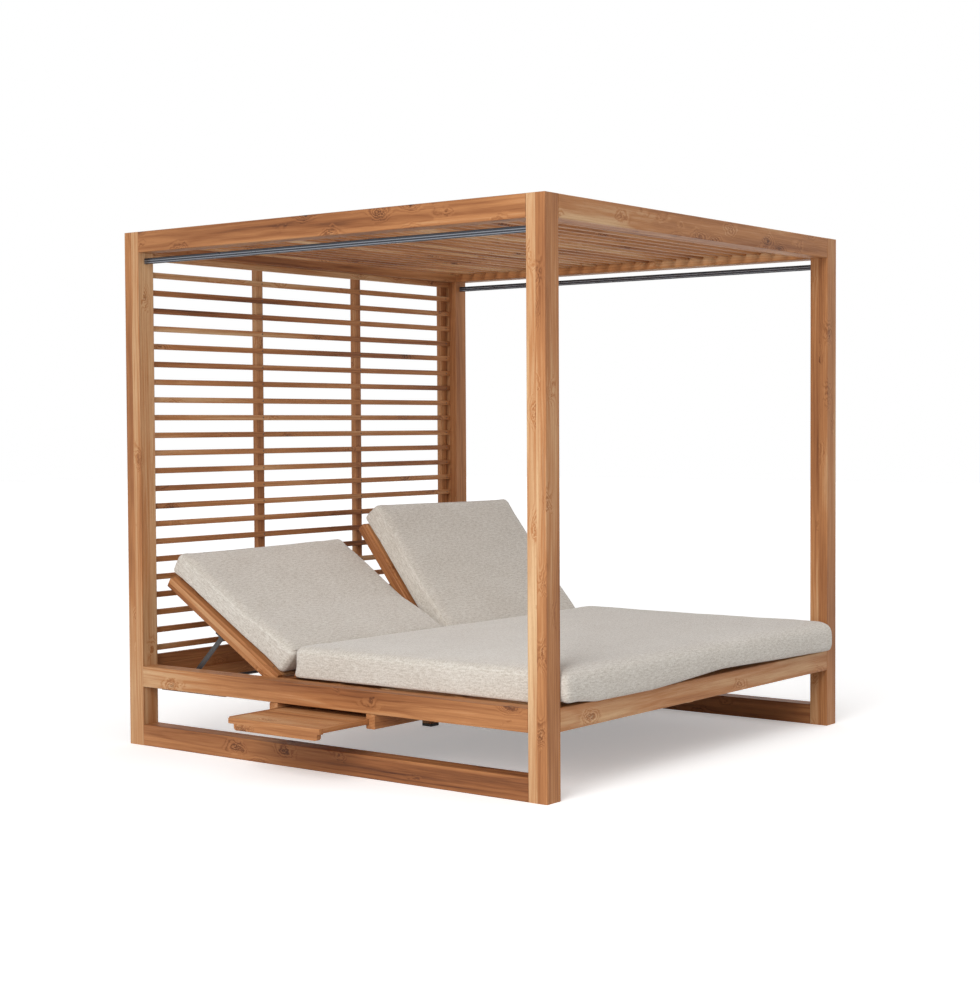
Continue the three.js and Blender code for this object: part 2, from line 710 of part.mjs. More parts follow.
// A cushion's outline about its middle: a corner arc, then the side that leads to the next one
function cushionOutline(half, corner) {
  const arcSteps = 3;
  const sideSteps = 6;
  const quarterTurn = Math.PI / 2;
  const outline = [];
  for (const [quarter, signs] of [[1, 1], [-1, 1], [-1, -1], [1, -1]].entries()) {
    const centre = half.map((size, axis) => signs[axis] * (size - corner));
    for (let step = 0; step <= arcSteps; step += 1) {
      const angle = (quarter + step / arcSteps) * quarterTurn;
      outline.push([centre[0] + corner * Math.cos(angle), centre[1] + corner * Math.sin(angle)]);
    }
    const [start] = outline.slice(-1);
    const alongX = quarter % 2 === 0;
    const end = alongX ? [-start[0], start[1]] : [start[0], -start[1]];
    const inward = alongX ? [0, -signs[1]] : [-signs[0], 0];
    for (let step = 1; step < sideSteps; step += 1) {
      const share = step / sideSteps;
      const draw = sideDrawIn * Math.sin(share * Math.PI);
      outline.push([
        start[0] + (end[0] - start[0]) * share + inward[0] * draw,
        start[1] + (end[1] - start[1]) * share + inward[1] * draw,
      ]);
    }
  }
  return outline;
}

// The levels of a cushion from its underside over the wall to its top: how far out each one
// reaches, how much it draws in, and its height
function cushionLevels([low, high], crown) {
  const wallShares = [0, 0.18, 0.5, 0.82, 1];
  const topShares = [0.97, 0.88, 0.7, 0.4];
  const walls = wallShares.map((share) => ({
    share: 1,
    inset: edgeDrawIn * (1 + Math.cos(share * Math.PI * 2)) / 2,
    z: low + (high - low) * share,
  }));
  const crowned = topShares.map((share) => ({
    share,
    inset: edgeDrawIn,
    z: high + crown * (1 - share ** 4),
  }));
  return [...walls, ...crowned];
}

function addMattress() {
  const reachX = innerX - mattressSideGap;
  addNode(daybed, 'mattress', fabric, cushion(
    [-reachX, reachX],
    [-halfDepth - mattressOverhang, crossRailFront - mattressHeadGap],
    [deckTop + fitGap, deckTop + mattressThickness],
    mattressCrown,
    mattressCorner,
  ));
}

addPosts();
addRails();
addSeatStructure();
addDecks();
addHeadScreen();
addCanopy();
addCurtainTracks();
addHinges();
addRacks();
for (const [sideName, rest] of Object.entries(restPositions)) {
  addBackrest(sideName, rest);
}
addTrays();
addMattress();

// The origin is under the middle of the whole piece, on the floor
const daybedBox = new THREE.Box3().setFromObject(daybed);
const daybedMiddle = daybedBox.getCenter(new THREE.Vector3());
daybed.position.set(-daybedMiddle.x, -daybedMiddle.y, 0);

export default daybed;
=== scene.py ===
# Outdoor daybed with canopy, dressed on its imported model. Metres, +Z up, head at +Y, left at -X.
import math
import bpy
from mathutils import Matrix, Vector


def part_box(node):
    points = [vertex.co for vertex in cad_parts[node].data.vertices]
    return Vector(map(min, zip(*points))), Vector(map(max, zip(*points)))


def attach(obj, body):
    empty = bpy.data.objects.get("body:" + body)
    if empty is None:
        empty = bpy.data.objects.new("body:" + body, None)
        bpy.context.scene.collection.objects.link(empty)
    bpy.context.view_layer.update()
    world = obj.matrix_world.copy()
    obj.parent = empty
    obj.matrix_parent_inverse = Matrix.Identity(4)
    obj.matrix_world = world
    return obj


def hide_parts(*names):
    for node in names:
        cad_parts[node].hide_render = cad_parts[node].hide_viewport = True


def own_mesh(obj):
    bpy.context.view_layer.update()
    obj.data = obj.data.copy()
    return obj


bl_info = {
    "name": "Outdoor daybed with canopy",
    "version": (1, 0, 0),
    "blender": (4, 5, 0),
    "location": "3D View > Sidebar > Daybed",
    "description": "Builds the timber, steel and upholstery of a canopied daybed",
    "category": "Add Mesh",
}

import bmesh
import bpy
import numpy as np
from mathutils import Matrix, Vector

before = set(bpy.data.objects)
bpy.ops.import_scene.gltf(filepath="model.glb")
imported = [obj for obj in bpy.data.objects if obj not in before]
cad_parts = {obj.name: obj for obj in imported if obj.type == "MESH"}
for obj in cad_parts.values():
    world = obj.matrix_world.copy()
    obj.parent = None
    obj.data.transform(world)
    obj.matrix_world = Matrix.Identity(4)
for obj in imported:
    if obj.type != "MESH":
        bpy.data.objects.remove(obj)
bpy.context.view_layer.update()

MM = 0.001
SIDES = {"left": -1, "right": 1}
CYCLE = {"x": (0, 1, 2), "y": (1, 2, 0), "z": (2, 0, 1)}
PANELS = ("foot", "middle", "head")
UNMOVED = Matrix()
WHITE = (1, 1, 1, 1)

# The slot that a piece names, and its material
TEAK = ("teak", "oiled_teak")
STEEL = ("grey_steel", "prop_steel")
PLASTIC = ("black_plastic", "foot_plastic")
RAIL = ("aluminium", "curtain_rail")
RAIL_LIP_HIGHLIGHT = ("aluminium", "rail_lip")
FABRIC = ("fabric", "outdoor_fabric")

# The middle of the four posts' footprint, which the sizes below are measured from
low_post, high_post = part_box("post_foot_left")[0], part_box("post_head_right")[1]
ORIGIN = np.array([(low_post.x + high_post.x) / 2, (low_post.y + high_post.y) / 2, 0.0])


def mm(*values):
    return np.array(values) * MM


def node_range(node):
    """A node's lowest and highest corners about the footprint's middle."""
    low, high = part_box(node)
    return np.array(low) - ORIGIN, np.array(high) - ORIGIN


PIVOT = sum(node_range("hinge_pin_centre")) / 2
TILT = {"left": math.radians(31.5), "right": math.radians(52.2)}
PROP_LEAN = {"left": math.radians(44.7), "right": math.radians(73.9)}


def length(label, description, millimetres):
    return bpy.props.FloatProperty(name=label, description=description, default=millimetres * MM,
                                   unit="LENGTH")


def paint(label, description, *channels):
    return bpy.props.FloatVectorProperty(name=label, description=description, default=channels + (1,),
                                         size=4, min=0, max=1, subtype="COLOR")


class DaybedSizes(bpy.types.PropertyGroup):
    edge_radius: length("Edge radius", "Rounding of the frame timbers' edges", 3)
    slat_edge_radius: length("Slat edge radius", "Rounding of the slats' edges", 1.6)
    stile_edge_radius: length("Stile edge radius", "Rounding of the backrest stiles' outer edges", 6)
    glue_line: length("Glue line", "Rounding where two boards are glued together", 0.35)
    screen_pitch: length("Screen slat pitch", "Distance between the head screen's slats", 70)
    screen_slat: length("Screen slat height", "Height of a slat of the head screen", 22)
    canopy_slat: length("Canopy slat width", "Width of a slat of the canopy", 22)
    rail_height: length("Curtain rail height", "Height of a curtain rail", 22)
    screw_radius: length("Screw head radius", "Radius of a screw head", 3.6)
    mattress_edge: length("Mattress edge radius", "Rounding of the mattress's long edges", 24)
    cushion_edge: length("Cushion edge radius", "Rounding of the back cushions' edges", 9)
    seam_radius: length("Seam radius", "Radius of the folded seam along a cushion's edge", 1.7)


class DaybedColours(bpy.types.PropertyGroup):
    teak_light: paint("Teak light", "Palest early wood", 0.71, 0.475, 0.265)
    teak_mid: paint("Teak mid", "Usual tone of the wood", 0.465, 0.20, 0.074)
    teak_dark: paint("Teak dark", "Late wood and heartwood streaks", 0.265, 0.095, 0.031)
    teak_deep: paint("Teak deep", "Knots and mineral lines", 0.075, 0.022, 0.008)
    fabric_light: paint("Fabric light", "Palest yarn of the melange", 0.76, 0.72, 0.655)
    fabric_mid: paint("Fabric mid", "Usual yarn of the melange", 0.60, 0.548, 0.48)
    fabric_dark: paint("Fabric dark", "Grey-brown yarn of the melange", 0.42, 0.365, 0.30)
    steel: paint("Prop steel", "Grey steel of the props and hinges", 0.080, 0.077, 0.077)
    rail: paint("Curtain rail", "Dark anodised curtain rail", 0.045, 0.049, 0.059)
    # The lips' pale colour is bare aluminium and also a painted highlight where light catches their edges
    rail_lip: paint("Curtain rail lip", "Bare edges of the curtain rail's channels", 0.30, 0.32, 0.36)
    plastic: paint("Foot plastic", "Black plastic foot of the centre leg", 0.012, 0.011, 0.010)
    floor: paint("Floor", "Pale studio floor", 0.80, 0.80, 0.80)


# Boards and bars


def rounded_outline(half, radii, steps):
    """A rectangle's outline with a quarter circle at each corner. Each quarter's centre is the
    corner moved in by its radius, and the outward direction turns through a right angle."""
    signs = np.array([(1, 1), (-1, 1), (-1, -1), (1, -1)], float)
    half = np.asarray(half, float)
    radii = np.clip(np.broadcast_to(radii, 4), 1e-5, half.min() * 0.999)
    angle = (np.arange(4)[:, None] + np.linspace(0, 1, steps + 1)) * math.pi / 2
    outward = np.stack((np.cos(angle), np.sin(angle)), -1)
    centre = signs * (half - radii[:, None])
    return (centre[:, None] + outward * radii[:, None, None]).reshape(-1, 2), outward.reshape(-1, 2)


def bar(low, high, axis, radii, end_radius=None, steps=2, tone=0.5, pith=None, knots=0.15,
        grain_axis=None):
    """A straight bar between two corners, along an axis, as a grid of rings. Each ring is the
    rounded outline drawn in by the end's quarter circle, and normals turn with both circles.
    tone is how pale the board is, pith where the log's middle lies in its cross section, knots
    the share of knotty places, and grain_axis the way the wood grows if not along the bar."""
    low, high = np.asarray(low, float), np.asarray(high, float)
    along, across, up = CYCLE[axis]
    middle, half = (low + high) / 2, (high - low) / 2
    radii = np.broadcast_to(radii, 4).astype(float)
    end = radii.max() if end_radius is None else end_radius
    end = min(end, half[along] * 0.9, half[across] * 0.9, half[up] * 0.9)
    turn = np.linspace(0, math.pi / 2, steps + 1)
    place = np.concatenate((-half[along] + end * (1 - np.cos(turn)),
                            half[along] - end * (1 - np.cos(turn[::-1]))))
    inset = end * (1 - np.sin(np.concatenate((turn, turn[::-1]))))
    tip = np.concatenate((-np.cos(turn), np.cos(turn[::-1])))
    rings, normals = [], []
    for distance, draw, lean in zip(place, inset, tip):
        size = np.array([half[across], half[up]]) - draw
        outline, outward = rounded_outline(size, radii - draw, steps)
        ring = np.zeros((len(outline), 3))
        ring[:, across], ring[:, up] = outline.T
        ring[:, along] = distance
        normal = np.zeros_like(ring)
        normal[:, across], normal[:, up] = outward.T * math.sqrt(max(0.0, 1 - lean * lean))
        normal[:, along] = lean
        rings.append(ring)
        normals.append(normal)
    points = np.array(rings)
    grain = points[..., list(CYCLE[grain_axis or axis])].reshape(-1, 3)
    return {"points": points.reshape(-1, 3) + middle, "normals": np.array(normals).reshape(-1, 3),
            "grain": grain, "rings": len(place), "round": len(rings[0]),
            "tone": tone, "pith": pith, "knots": knots}


def grid_quads(rings, around, closed=False):
    """Quads between neighbouring rings, and from the last ring to the first if it is closed."""
    row, column = np.meshgrid(np.arange(rings if closed else rings - 1), np.arange(around), indexing="ij")
    next_row, next_column = (row + 1) % rings, (column + 1) % around
    return np.stack((row * around + column, row * around + next_column,
                     next_row * around + next_column, next_row * around + column), -1).reshape(-1, 4)


def ring_faces(rings, around, start):
    """Quads between neighbouring rings, and one flat cap on the first and last ring."""
    caps = [list(range(start + around - 1, start - 1, -1)),
            list(range(start + (rings - 1) * around, start + rings * around))]
    return (grid_quads(rings, around) + start).tolist() + caps


def link(data, name):
    piece = bpy.data.objects.new(name, data)
    bpy.context.scene.collection.objects.link(piece)
    return piece


def new_mesh(name, points, faces):
    mesh = bpy.data.meshes.new(name)
    mesh.from_pydata(points.tolist(), [], faces)
    return mesh


def placed(points, placing):
    """Points moved by their placing, and from the footprint's middle to the frame's origin."""
    matrix = np.array(placing)
    return points @ matrix[:3, :3].T + matrix[:3, 3] + ORIGIN


def finish_piece(piece, look, body, *nodes):
    """Gives a piece its material and its body, and hides the nodes that it stands for."""
    slot, material = look
    piece.data.materials.clear()
    piece.data.materials.append(finish(material))
    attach(piece, body)
    if nodes:
        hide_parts(*nodes)
    return piece


def add_bars(name, bars, look, body, *nodes, placing=UNMOVED):
    """One mesh of all the bars, with each board's own grain and tone on its points. A board's
    grain starts at a seeded place in the log, so that no two boards look alike."""
    seeded = np.random.default_rng(sum(name.encode()))
    grain, tone, faces = [], [], []
    start = 0
    for one in bars:
        count = len(one["points"])
        pith = one["pith"]
        if pith is None:
            angle = seeded.uniform(0, math.tau)
            reach = seeded.uniform(0.02, 0.11)
            pith = (reach * math.cos(angle), reach * math.sin(angle))
        grain.append(one["grain"] + (seeded.uniform(0, 40), *pith))
        tone.append(np.full(count, np.clip(one["tone"] + seeded.normal(0, 0.12), 0, 1)))
        faces += ring_faces(one["rings"], one["round"], start)
        start += count
    mesh = new_mesh(name, placed(np.concatenate([one["points"] for one in bars]), placing), faces)
    mesh.shade_smooth()
    mesh.attributes.new("grain", "FLOAT_VECTOR", "POINT").data.foreach_set(
        "vector", np.concatenate(grain).astype(np.float32).ravel())
    knots = [np.full(len(one["points"]), one["knots"]) for one in bars]
    for attribute, values in (("tone", tone), ("knots", knots)):
        mesh.attributes.new(attribute, "FLOAT", "POINT").data.foreach_set(
            "value", np.concatenate(values).astype(np.float32))
    normals = np.concatenate([one["normals"] for one in bars]) @ np.array(placing)[:3, :3].T
    mesh.normals_split_custom_set_from_vertices(normals.tolist())
    finish_piece(link(mesh, name), look, body, *nodes)


# Materials


def shader_node(tree, kind, settings=None, **inputs):
    """A shader node. Settings are its own values, and each input is a constant or a socket."""
    made = tree.nodes.new("ShaderNode" + kind)
    for key, value in (settings or {}).items():
        setattr(made, key, value)
    for key, value in inputs.items():
        socket = made.inputs[int(key[1:])] if key[0] == "_" else made.inputs[key.replace("_", " ")]
        if isinstance(value, bpy.types.NodeSocket):
            tree.links.new(value, socket)
        else:
            socket.default_value = value
    return made


def maths(tree, operation, first, second=0.0, third=0.0):
    return shader_node(tree, "Math", {"operation": operation}, _0=first, _1=second, _2=third).outputs[0]


def product(tree, first, *factors):
    for factor in factors:
        first = maths(tree, "MULTIPLY", first, factor)
    return first


def weighted(tree, total, *terms):
    """The total with every term's value times its weight added to it."""
    for value, weight in terms:
        total = maths(tree, "MULTIPLY_ADD", value, weight, total)
    return total


def scaled(tree, vector, scale):
    return shader_node(tree, "VectorMath", {"operation": "MULTIPLY"}, _0=vector, _1=scale).outputs[0]


def noise_node(tree, vector, scale, detail=2.0, roughness=0.5):
    return shader_node(tree, "TexNoise", Vector=scaled(tree, vector, scale), Scale=1.0, Detail=detail,
                       Roughness=roughness)


def noise(tree, vector, scale, detail=2.0, roughness=0.5):
    return noise_node(tree, vector, scale, detail, roughness).outputs["Fac"]


def eased(tree, value, low, high, to_low=0.0, to_high=1.0):
    made = shader_node(tree, "MapRange", {"interpolation_type": "SMOOTHSTEP"}, Value=value,
                       From_Min=low, From_Max=high, To_Min=to_low, To_Max=to_high)
    return made.outputs["Result"]


def mixed(tree, share, first, second):
    made = shader_node(tree, "Mix", {"data_type": "RGBA", "clamp_factor": True},
                       _0=share, _6=first, _7=second)
    return made.outputs[2]


def ramp(tree, value, *stops):
    made = shader_node(tree, "ValToRGB", Fac=value)
    elements = made.color_ramp.elements
    while len(elements) < len(stops):
        elements.new(0.5)
    for element, (place, colour) in zip(elements, stops):
        element.position = place
        element.color = colour
    return made.outputs["Color"]


def bumped(tree, height, strength, distance):
    made = shader_node(tree, "Bump", Strength=strength, Distance=distance, Height=height)
    return made.outputs["Normal"]


def new_material(name, **constants):
    material = bpy.data.materials.new(name)
    material.use_nodes = True
    shader = material.node_tree.nodes["Principled BSDF"]
    for key, value in constants.items():
        shader.inputs[key.replace("_", " ")].default_value = value
    return material.node_tree, shader


def join(tree, shader, **sockets):
    """Links each socket to the shader's input of that name."""
    for key, socket in sockets.items():
        tree.links.new(socket, shader.inputs[key.replace("_", " ")])


def object_place(tree):
    return shader_node(tree, "TexCoord").outputs["Object"]


def toned(colour, share):
    return tuple(channel * share for channel in colour[:3]) + (1,)


def teak_material(name, colours, axis=None):
    """Oiled teak cut from a log: growth rings are distances from the log's middle, warped by
    slow noise along the grain and swelling round the knots, under streaks, fibres and pores.
    The wood's own place comes from the boards' attribute, or from object coordinates."""
    tree, shader = new_material(name, Roughness=0.55, IOR=1.45, Specular_IOR_Level=0.35)
    if axis is None:
        place, tone, knots = (
            shader_node(tree, "Attribute", {"attribute_name": attribute}).outputs[output]
            for attribute, output in (("grain", "Vector"), ("tone", "Fac"), ("knots", "Fac")))
    else:
        where = object_place(tree)
        parts = shader_node(tree, "SeparateXYZ", Vector=where).outputs
        order = [parts[index] for index in CYCLE[axis]]
        place = shader_node(tree, "CombineXYZ", _0=order[0], _1=maths(tree, "ADD", order[1], 0.43),
                            _2=maths(tree, "ADD", order[2], 0.31)).outputs[0]
        # Halved tone darkens the runners and racks under the seat: painted shade
        tone = product(tree, noise(tree, where, (2.0, 2.0, 2.0), 0.0), 0.5)
        knots = 0.12
    slow = noise(tree, place, (0.75, 3.6, 3.6))
    middling = noise(tree, place, (4.5, 24.0, 24.0))
    wobble = noise_node(tree, place, (22.0, 34.0, 34.0), 3.0, 0.6)
    nudge = shader_node(tree, "VectorMath", {"operation": "MULTIPLY_ADD"}, _0=wobble.outputs["Color"],
                        _1=(0.062, 0.030, 0.030), _2=place).outputs[0]
    # A cell is a knot if its random draw is under the board's share of knots
    cells = shader_node(tree, "TexVoronoi", Vector=scaled(tree, nudge, (8.0, 16.0, 16.0)), Scale=1.0)
    draw = shader_node(tree, "SeparateColor", Color=cells.outputs["Color"]).outputs
    chosen = maths(tree, "LESS_THAN", draw[0], knots)
    near = product(tree, eased(tree, cells.outputs["Distance"], 0.62, 0.0), chosen)
    fleck = eased(tree, noise(tree, place, (95.0, 230.0, 230.0), 3.0, 0.7), 0.44, 0.60)
    core = product(tree, eased(tree, cells.outputs["Distance"], 0.27, 0.08), chosen, fleck,
                   eased(tree, draw[1], 0.1, 0.8, 0.5, 1.0))
    # Growth rings: the distance from the log's middle, swollen and swirled near a knot
    parts = shader_node(tree, "SeparateXYZ", Vector=place).outputs
    squares = [product(tree, parts[index], parts[index]) for index in (1, 2)]
    reach = maths(tree, "SQRT", maths(tree, "ADD", *squares))
    reach = weighted(tree, reach, (slow, 0.055), (middling, 0.007))
    swirl = product(tree, near, maths(tree, "MULTIPLY_ADD", wobble.outputs["Fac"], 0.06, 0.006))
    reach = maths(tree, "ADD", swirl, reach)
    drift = shader_node(tree, "TexNoise", {"noise_dimensions": "1D"}, W=product(tree, reach, 55.0),
                        Scale=1.0, Detail=1.0).outputs["Fac"]
    phase = weighted(tree, product(tree, reach, 620.0), (drift, 9.0))
    wave = maths(tree, "MULTIPLY_ADD", maths(tree, "SINE", phase), 0.5, 0.5)
    late = maths(tree, "POWER", wave, 2.6)
    early = maths(tree, "POWER", maths(tree, "SUBTRACT", 1.0, wave), 5.0)
    streak = noise(tree, place, (1.1, 26.0, 26.0), 3.0, 0.6)
    patch = noise(tree, place, (0.9, 7.0, 7.0), 1.0)
    fibre = noise(tree, place, (8.0, 330.0, 330.0), 3.0, 0.6)
    mineral = eased(tree, noise(tree, place, (0.55, 44.0, 44.0)), 0.64, 0.75)
    pore = eased(tree, noise(tree, place, (55.0, 1300.0, 1300.0), 1.0), 0.62, 0.74)
    value = weighted(tree, -0.69, (tone, 0.50), (streak, 0.72), (patch, 0.90), (fibre, 0.32),
                     (late, weighted(tree, -0.10, (near, -0.17))), (early, product(tree, near, 0.20)),
                     (near, -0.11))
    colour = ramp(tree, value, (0.02, colours.teak_deep), (0.24, colours.teak_dark),
                  (0.52, colours.teak_mid), (0.88, colours.teak_light))
    colour = mixed(tree, product(tree, mineral, 0.45), colour, colours.teak_dark)
    colour = mixed(tree, product(tree, pore, 0.4), colour, colours.teak_dark)
    height = weighted(tree, fibre, (late, -0.5), (pore, -0.8))
    join(tree, shader, Base_Color=mixed(tree, core, colour, colours.teak_deep),
         Roughness=eased(tree, fibre, 0.2, 0.8, 0.62, 0.46), Normal=bumped(tree, height, 0.35, 0.5 * MM))


def fabric_material(name, colours):
    """A slubby melange weave on the cushion's own map, in metres: pale and grey-brown yarns as
    noise drawn out along the weft, over the small hills of a plain weave."""
    tree, shader = new_material(name, Roughness=0.92, Specular_IOR_Level=0.18, Sheen_Weight=0.5,
                                Sheen_Roughness=0.45)
    place = shader_node(tree, "UVMap", {"uv_map": "weave"}).outputs[0]
    slub = noise(tree, place, (42.0, 160.0, 1.0), 3.0, 0.7)
    fine = noise(tree, place, (150.0, 620.0, 1.0), 2.0, 0.6)
    speck = noise(tree, place, (190.0, 190.0, 1.0), 1.0)
    cloud = noise(tree, place, (5.0, 9.0, 1.0))
    parts = shader_node(tree, "SeparateXYZ", Vector=place).outputs
    warp, weft = (maths(tree, "SINE", product(tree, parts[index], math.tau / yarn))
                  for index, yarn in enumerate((2.6 * MM, 2.2 * MM)))
    weave = product(tree, warp, weft)
    value = weighted(tree, -0.52, (slub, 1.10), (fine, 0.5), (speck, 0.6), (cloud, 0.20), (weave, 0.05))
    height = weighted(tree, slub, (weave, 0.35), (fine, 0.6))
    colour = ramp(tree, value, (0.30, colours.fabric_dark), (0.60, colours.fabric_mid),
                  (0.90, colours.fabric_light))
    join(tree, shader, Base_Color=colour, Normal=bumped(tree, height, 0.55, 0.9 * MM))


def metal_material(name, colours, kind, metallic, roughness, scale, wear):
    """Mill-finished metal: faint drawn lines and clouded wear on object coordinates. Wear is
    how far the colour falls and rises."""
    colour = getattr(colours, kind)
    tree, shader = new_material(name, Metallic=metallic, Roughness=roughness)
    place = object_place(tree)
    drawn = noise(tree, place, scale, 3.0, 0.6)
    cloud = noise(tree, place, (14.0, 14.0, 14.0), 3.0, 0.6)
    value = weighted(tree, product(tree, cloud, 0.5), (drawn, 0.6))
    join(tree, shader, Normal=bumped(tree, drawn, 0.12, 0.2 * MM),
         Base_Color=ramp(tree, value, (0.25, toned(colour, 1 - wear)), (0.52, tuple(colour)),
                         (0.8, toned(colour, 1 + wear))),
         Roughness=eased(tree, cloud, 0.3, 0.7, roughness - 0.08, roughness + 0.12))


def plastic_material(name, colours):
    """Moulded plastic with a fine spark-eroded skin."""
    tree, shader = new_material(name, Roughness=0.55)
    place = object_place(tree)
    grainy = noise(tree, place, (900.0, 900.0, 900.0))
    scuff = eased(tree, noise(tree, place, (30.0, 30.0, 30.0), 4.0, 0.7), 0.55, 0.8)
    join(tree, shader, Base_Color=mixed(tree, scuff, tuple(colours.plastic), toned(colours.plastic, 3)),
         Normal=bumped(tree, grainy, 0.3, 0.2 * MM))


def seen_directly(tree):
    """One where the ray comes from the camera, a mirror or glass, and zero elsewhere."""
    path = shader_node(tree, "LightPath").outputs
    either = maths(tree, "MAXIMUM", path["Is Camera Ray"], path["Is Glossy Ray"])
    return maths(tree, "MAXIMUM", either, path["Is Transmission Ray"])


def floor_material(name, colours):
    """Pale floor that is white where the camera sees it lit and keeps the shadows."""
    tree, shader = new_material(name, Roughness=0.9, Specular_IOR_Level=0.1, Emission_Color=WHITE)
    seen = seen_directly(tree)
    faint = product(tree, noise(tree, object_place(tree), (1.5, 1.5, 1.5), 3.0), 0.03)
    plain = mixed(tree, faint, tuple(colours.floor), (0.7, 0.7, 0.7, 1))
    join(tree, shader, Base_Color=mixed(tree, seen, plain, WHITE),
         Emission_Strength=product(tree, seen, 0.318))


FINISHES = {
    "oiled_teak": (teak_material,),
    "teak_along_x": (teak_material, "x"),
    "teak_along_y": (teak_material, "y"),
    "outdoor_fabric": (fabric_material,),
    "prop_steel": (metal_material, "steel", 0.7, 0.42, (120, 120, 120), 0.33),
    "curtain_rail": (metal_material, "rail", 0.6, 0.34, (90, 2, 90), 0.05),
    "rail_lip": (metal_material, "rail_lip", 0.6, 0.34, (90, 2, 90), 0.05),
    "foot_plastic": (plastic_material,),
    "studio_floor": (floor_material,),
}


def finish(name):
    """The material of that name, made when it is first asked for."""
    if name not in bpy.data.materials:
        maker, *details = FINISHES[name]
        maker(name, bpy.context.scene.daybed_colours, *details)
    return bpy.data.materials[name]


def dress_nodes(material, *nodes):
    """CAD nodes that stay get the finish on their material slots."""
    for node in nodes:
        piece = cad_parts[node]
        if not piece.material_slots:
            piece.data.materials.append(finish(material))
        for place in piece.material_slots:
            place.material = finish(material)


# Timber frame

SLAT_WIDTH, SLAT_COUNT = 88 * MM, 8
HALF_BATTEN = 19 * MM
# The tones of each post's two boards; the foot-left post's dark front board is painted shade on its foot
# face, and its pale back board painted light on its left face
POST_TONES_AND_SHADING = {"foot_left": (0.34, 0.90), "foot_right": (0.5, 0.7), "head_left": (0.56, 0.50),
              "head_right": (0.45, 0.6)}
RAILS = (
    ("x", ("top_rail_foot", "top_rail_head", "seat_rail_foot", "seat_rail_head", "seat_cross_rail",
           "head_ledge")),
    ("y", ("top_rail_left", "top_rail_right", "floor_rail_left", "floor_rail_right",
           "seat_rail_left", "seat_rail_right", "centre_beam_front", "centre_beam_back")),
    ("z", ("centre_leg",)),
)
# Tone, share of knots, and where the log's middle lies, for the boards that show
RAIL_FACES = {
    "top_rail_left": (0.56, 0.38, (0.004, 0.088)), "top_rail_foot": (0.50, 0.36, (-0.084, 0.003)),
    "seat_rail_left": (0.36, 0.22, (0.012, 0.080)), "seat_rail_foot": (0.50, 0.12, (-0.088, -0.01)),
    "floor_rail_left": (0.42, 0.11, (-0.008, 0.086)), "floor_rail_right": (0.30, 0.2, (0.0, 0.09)),
    # The head ledge, head seat rail and cross rail get very low tones: painted shade under the seat
    "head_ledge": (0.15, 0.15, None), "seat_rail_head": (0.22, 0.15, None),
    "seat_cross_rail": (0.2, 0.15, None),
}


def split_bars(low, high, axis, cut_axis, radius, glue, tones):
    """Two boards glued face to face, split halfway along one axis, with sharp glued corners."""
    low, high = np.asarray(low, float), np.asarray(high, float)
    first_high, second_low = high.copy(), low.copy()
    first_high[cut_axis] = second_low[cut_axis] = (low[cut_axis] + high[cut_axis]) / 2
    if cut_axis == CYCLE[axis][1]:
        first, second = (glue, radius, radius, glue), (radius, glue, glue, radius)
    else:
        first, second = (glue, glue, radius, radius), (radius, radius, glue, glue)
    return [bar(low, first_high, axis, first, end_radius=1.2 * MM, tone=tones[0]),
            bar(second_low, high, axis, second, end_radius=1.2 * MM, tone=tones[1])]


def slat(low, high, axis, tone=0.5):
    """A slat with eased edges and nearly square ends."""
    radius = bpy.context.scene.daybed_sizes.slat_edge_radius
    return bar(low, high, axis, radius, end_radius=0.6 * MM, tone=tone)


def slat_starts(start, stop):
    """Where eight equal slats begin, spread evenly from start to stop."""
    pitch = (stop - start - SLAT_WIDTH) / (SLAT_COUNT - 1)
    return [start + index * pitch for index in range(SLAT_COUNT)]


def batten_middles(reach):
    return [share * reach for share in (-1, -0.336, 0.336, 1)]


def batten_slats(middles, low, high, axis, tone):
    """Four battens between a low and a high place along the bed and upwards."""
    return [slat((middle - HALF_BATTEN, *low), (middle + HALF_BATTEN, *high), axis, tone)
            for middle in middles]


def merge_doubles(mesh):
    shape = bmesh.new()
    shape.from_mesh(mesh)
    bmesh.ops.remove_doubles(shape, verts=shape.verts, dist=0.01 * MM)
    bmesh.ops.recalc_face_normals(shape, faces=shape.faces)
    shape.to_mesh(mesh)
    shape.free()


def add_screws(name, places, direction, body, placing=UNMOVED):
    """Screw heads as turned profiles: a low rounded rim that falls to a conical socket, swept
    round the screw's axis. Every head is the same grid moved to its place."""
    around = 8
    profile = np.array([(1.0, -0.6), (1.0, 0.02), (0.86, 0.14), (0.5, 0.16), (0.36, 0.05), (0.0, -0.18)])
    angle = np.arange(around) * math.tau / around
    outward = np.array(direction, float)
    first = np.cross(outward, (0.0, 0.0, 1.0) if abs(outward[2]) < 0.5 else (1.0, 0.0, 0.0))
    second = np.cross(outward, first)
    wheel = np.cos(angle)[:, None] * first + np.sin(angle)[:, None] * second
    head = profile[:, 0, None, None] * wheel + profile[:, 1, None, None] * outward
    points = np.array(places)[:, None, None] + head[None] * bpy.context.scene.daybed_sizes.screw_radius
    starts = np.arange(len(places)) * around * len(profile)
    quads = grid_quads(len(profile), around)[None] + starts[:, None, None]
    bases = np.arange(around)[::-1] + starts[:, None]
    mesh = new_mesh(name, placed(points.reshape(-1, 3), placing),
                    quads.reshape(-1, 4).tolist() + bases.tolist())
    merge_doubles(mesh)
    mesh.shade_smooth()
    finish_piece(link(mesh, name), STEEL, body)


class DAYBED_OT_posts(bpy.types.Operator):
    """Four posts, each glued up from two boards"""
    bl_idname = "daybed.posts"
    bl_label = "Posts"

    def execute(self, context):
        sizes = context.scene.daybed_sizes
        for place, tones in POST_TONES_AND_SHADING.items():
            node = f"post_{place}"
            bars = split_bars(*node_range(node), "z", 1, sizes.edge_radius, sizes.glue_line, tones)
            add_bars(f"{node}_boards", bars, TEAK, "frame", node)
        return {"FINISHED"}


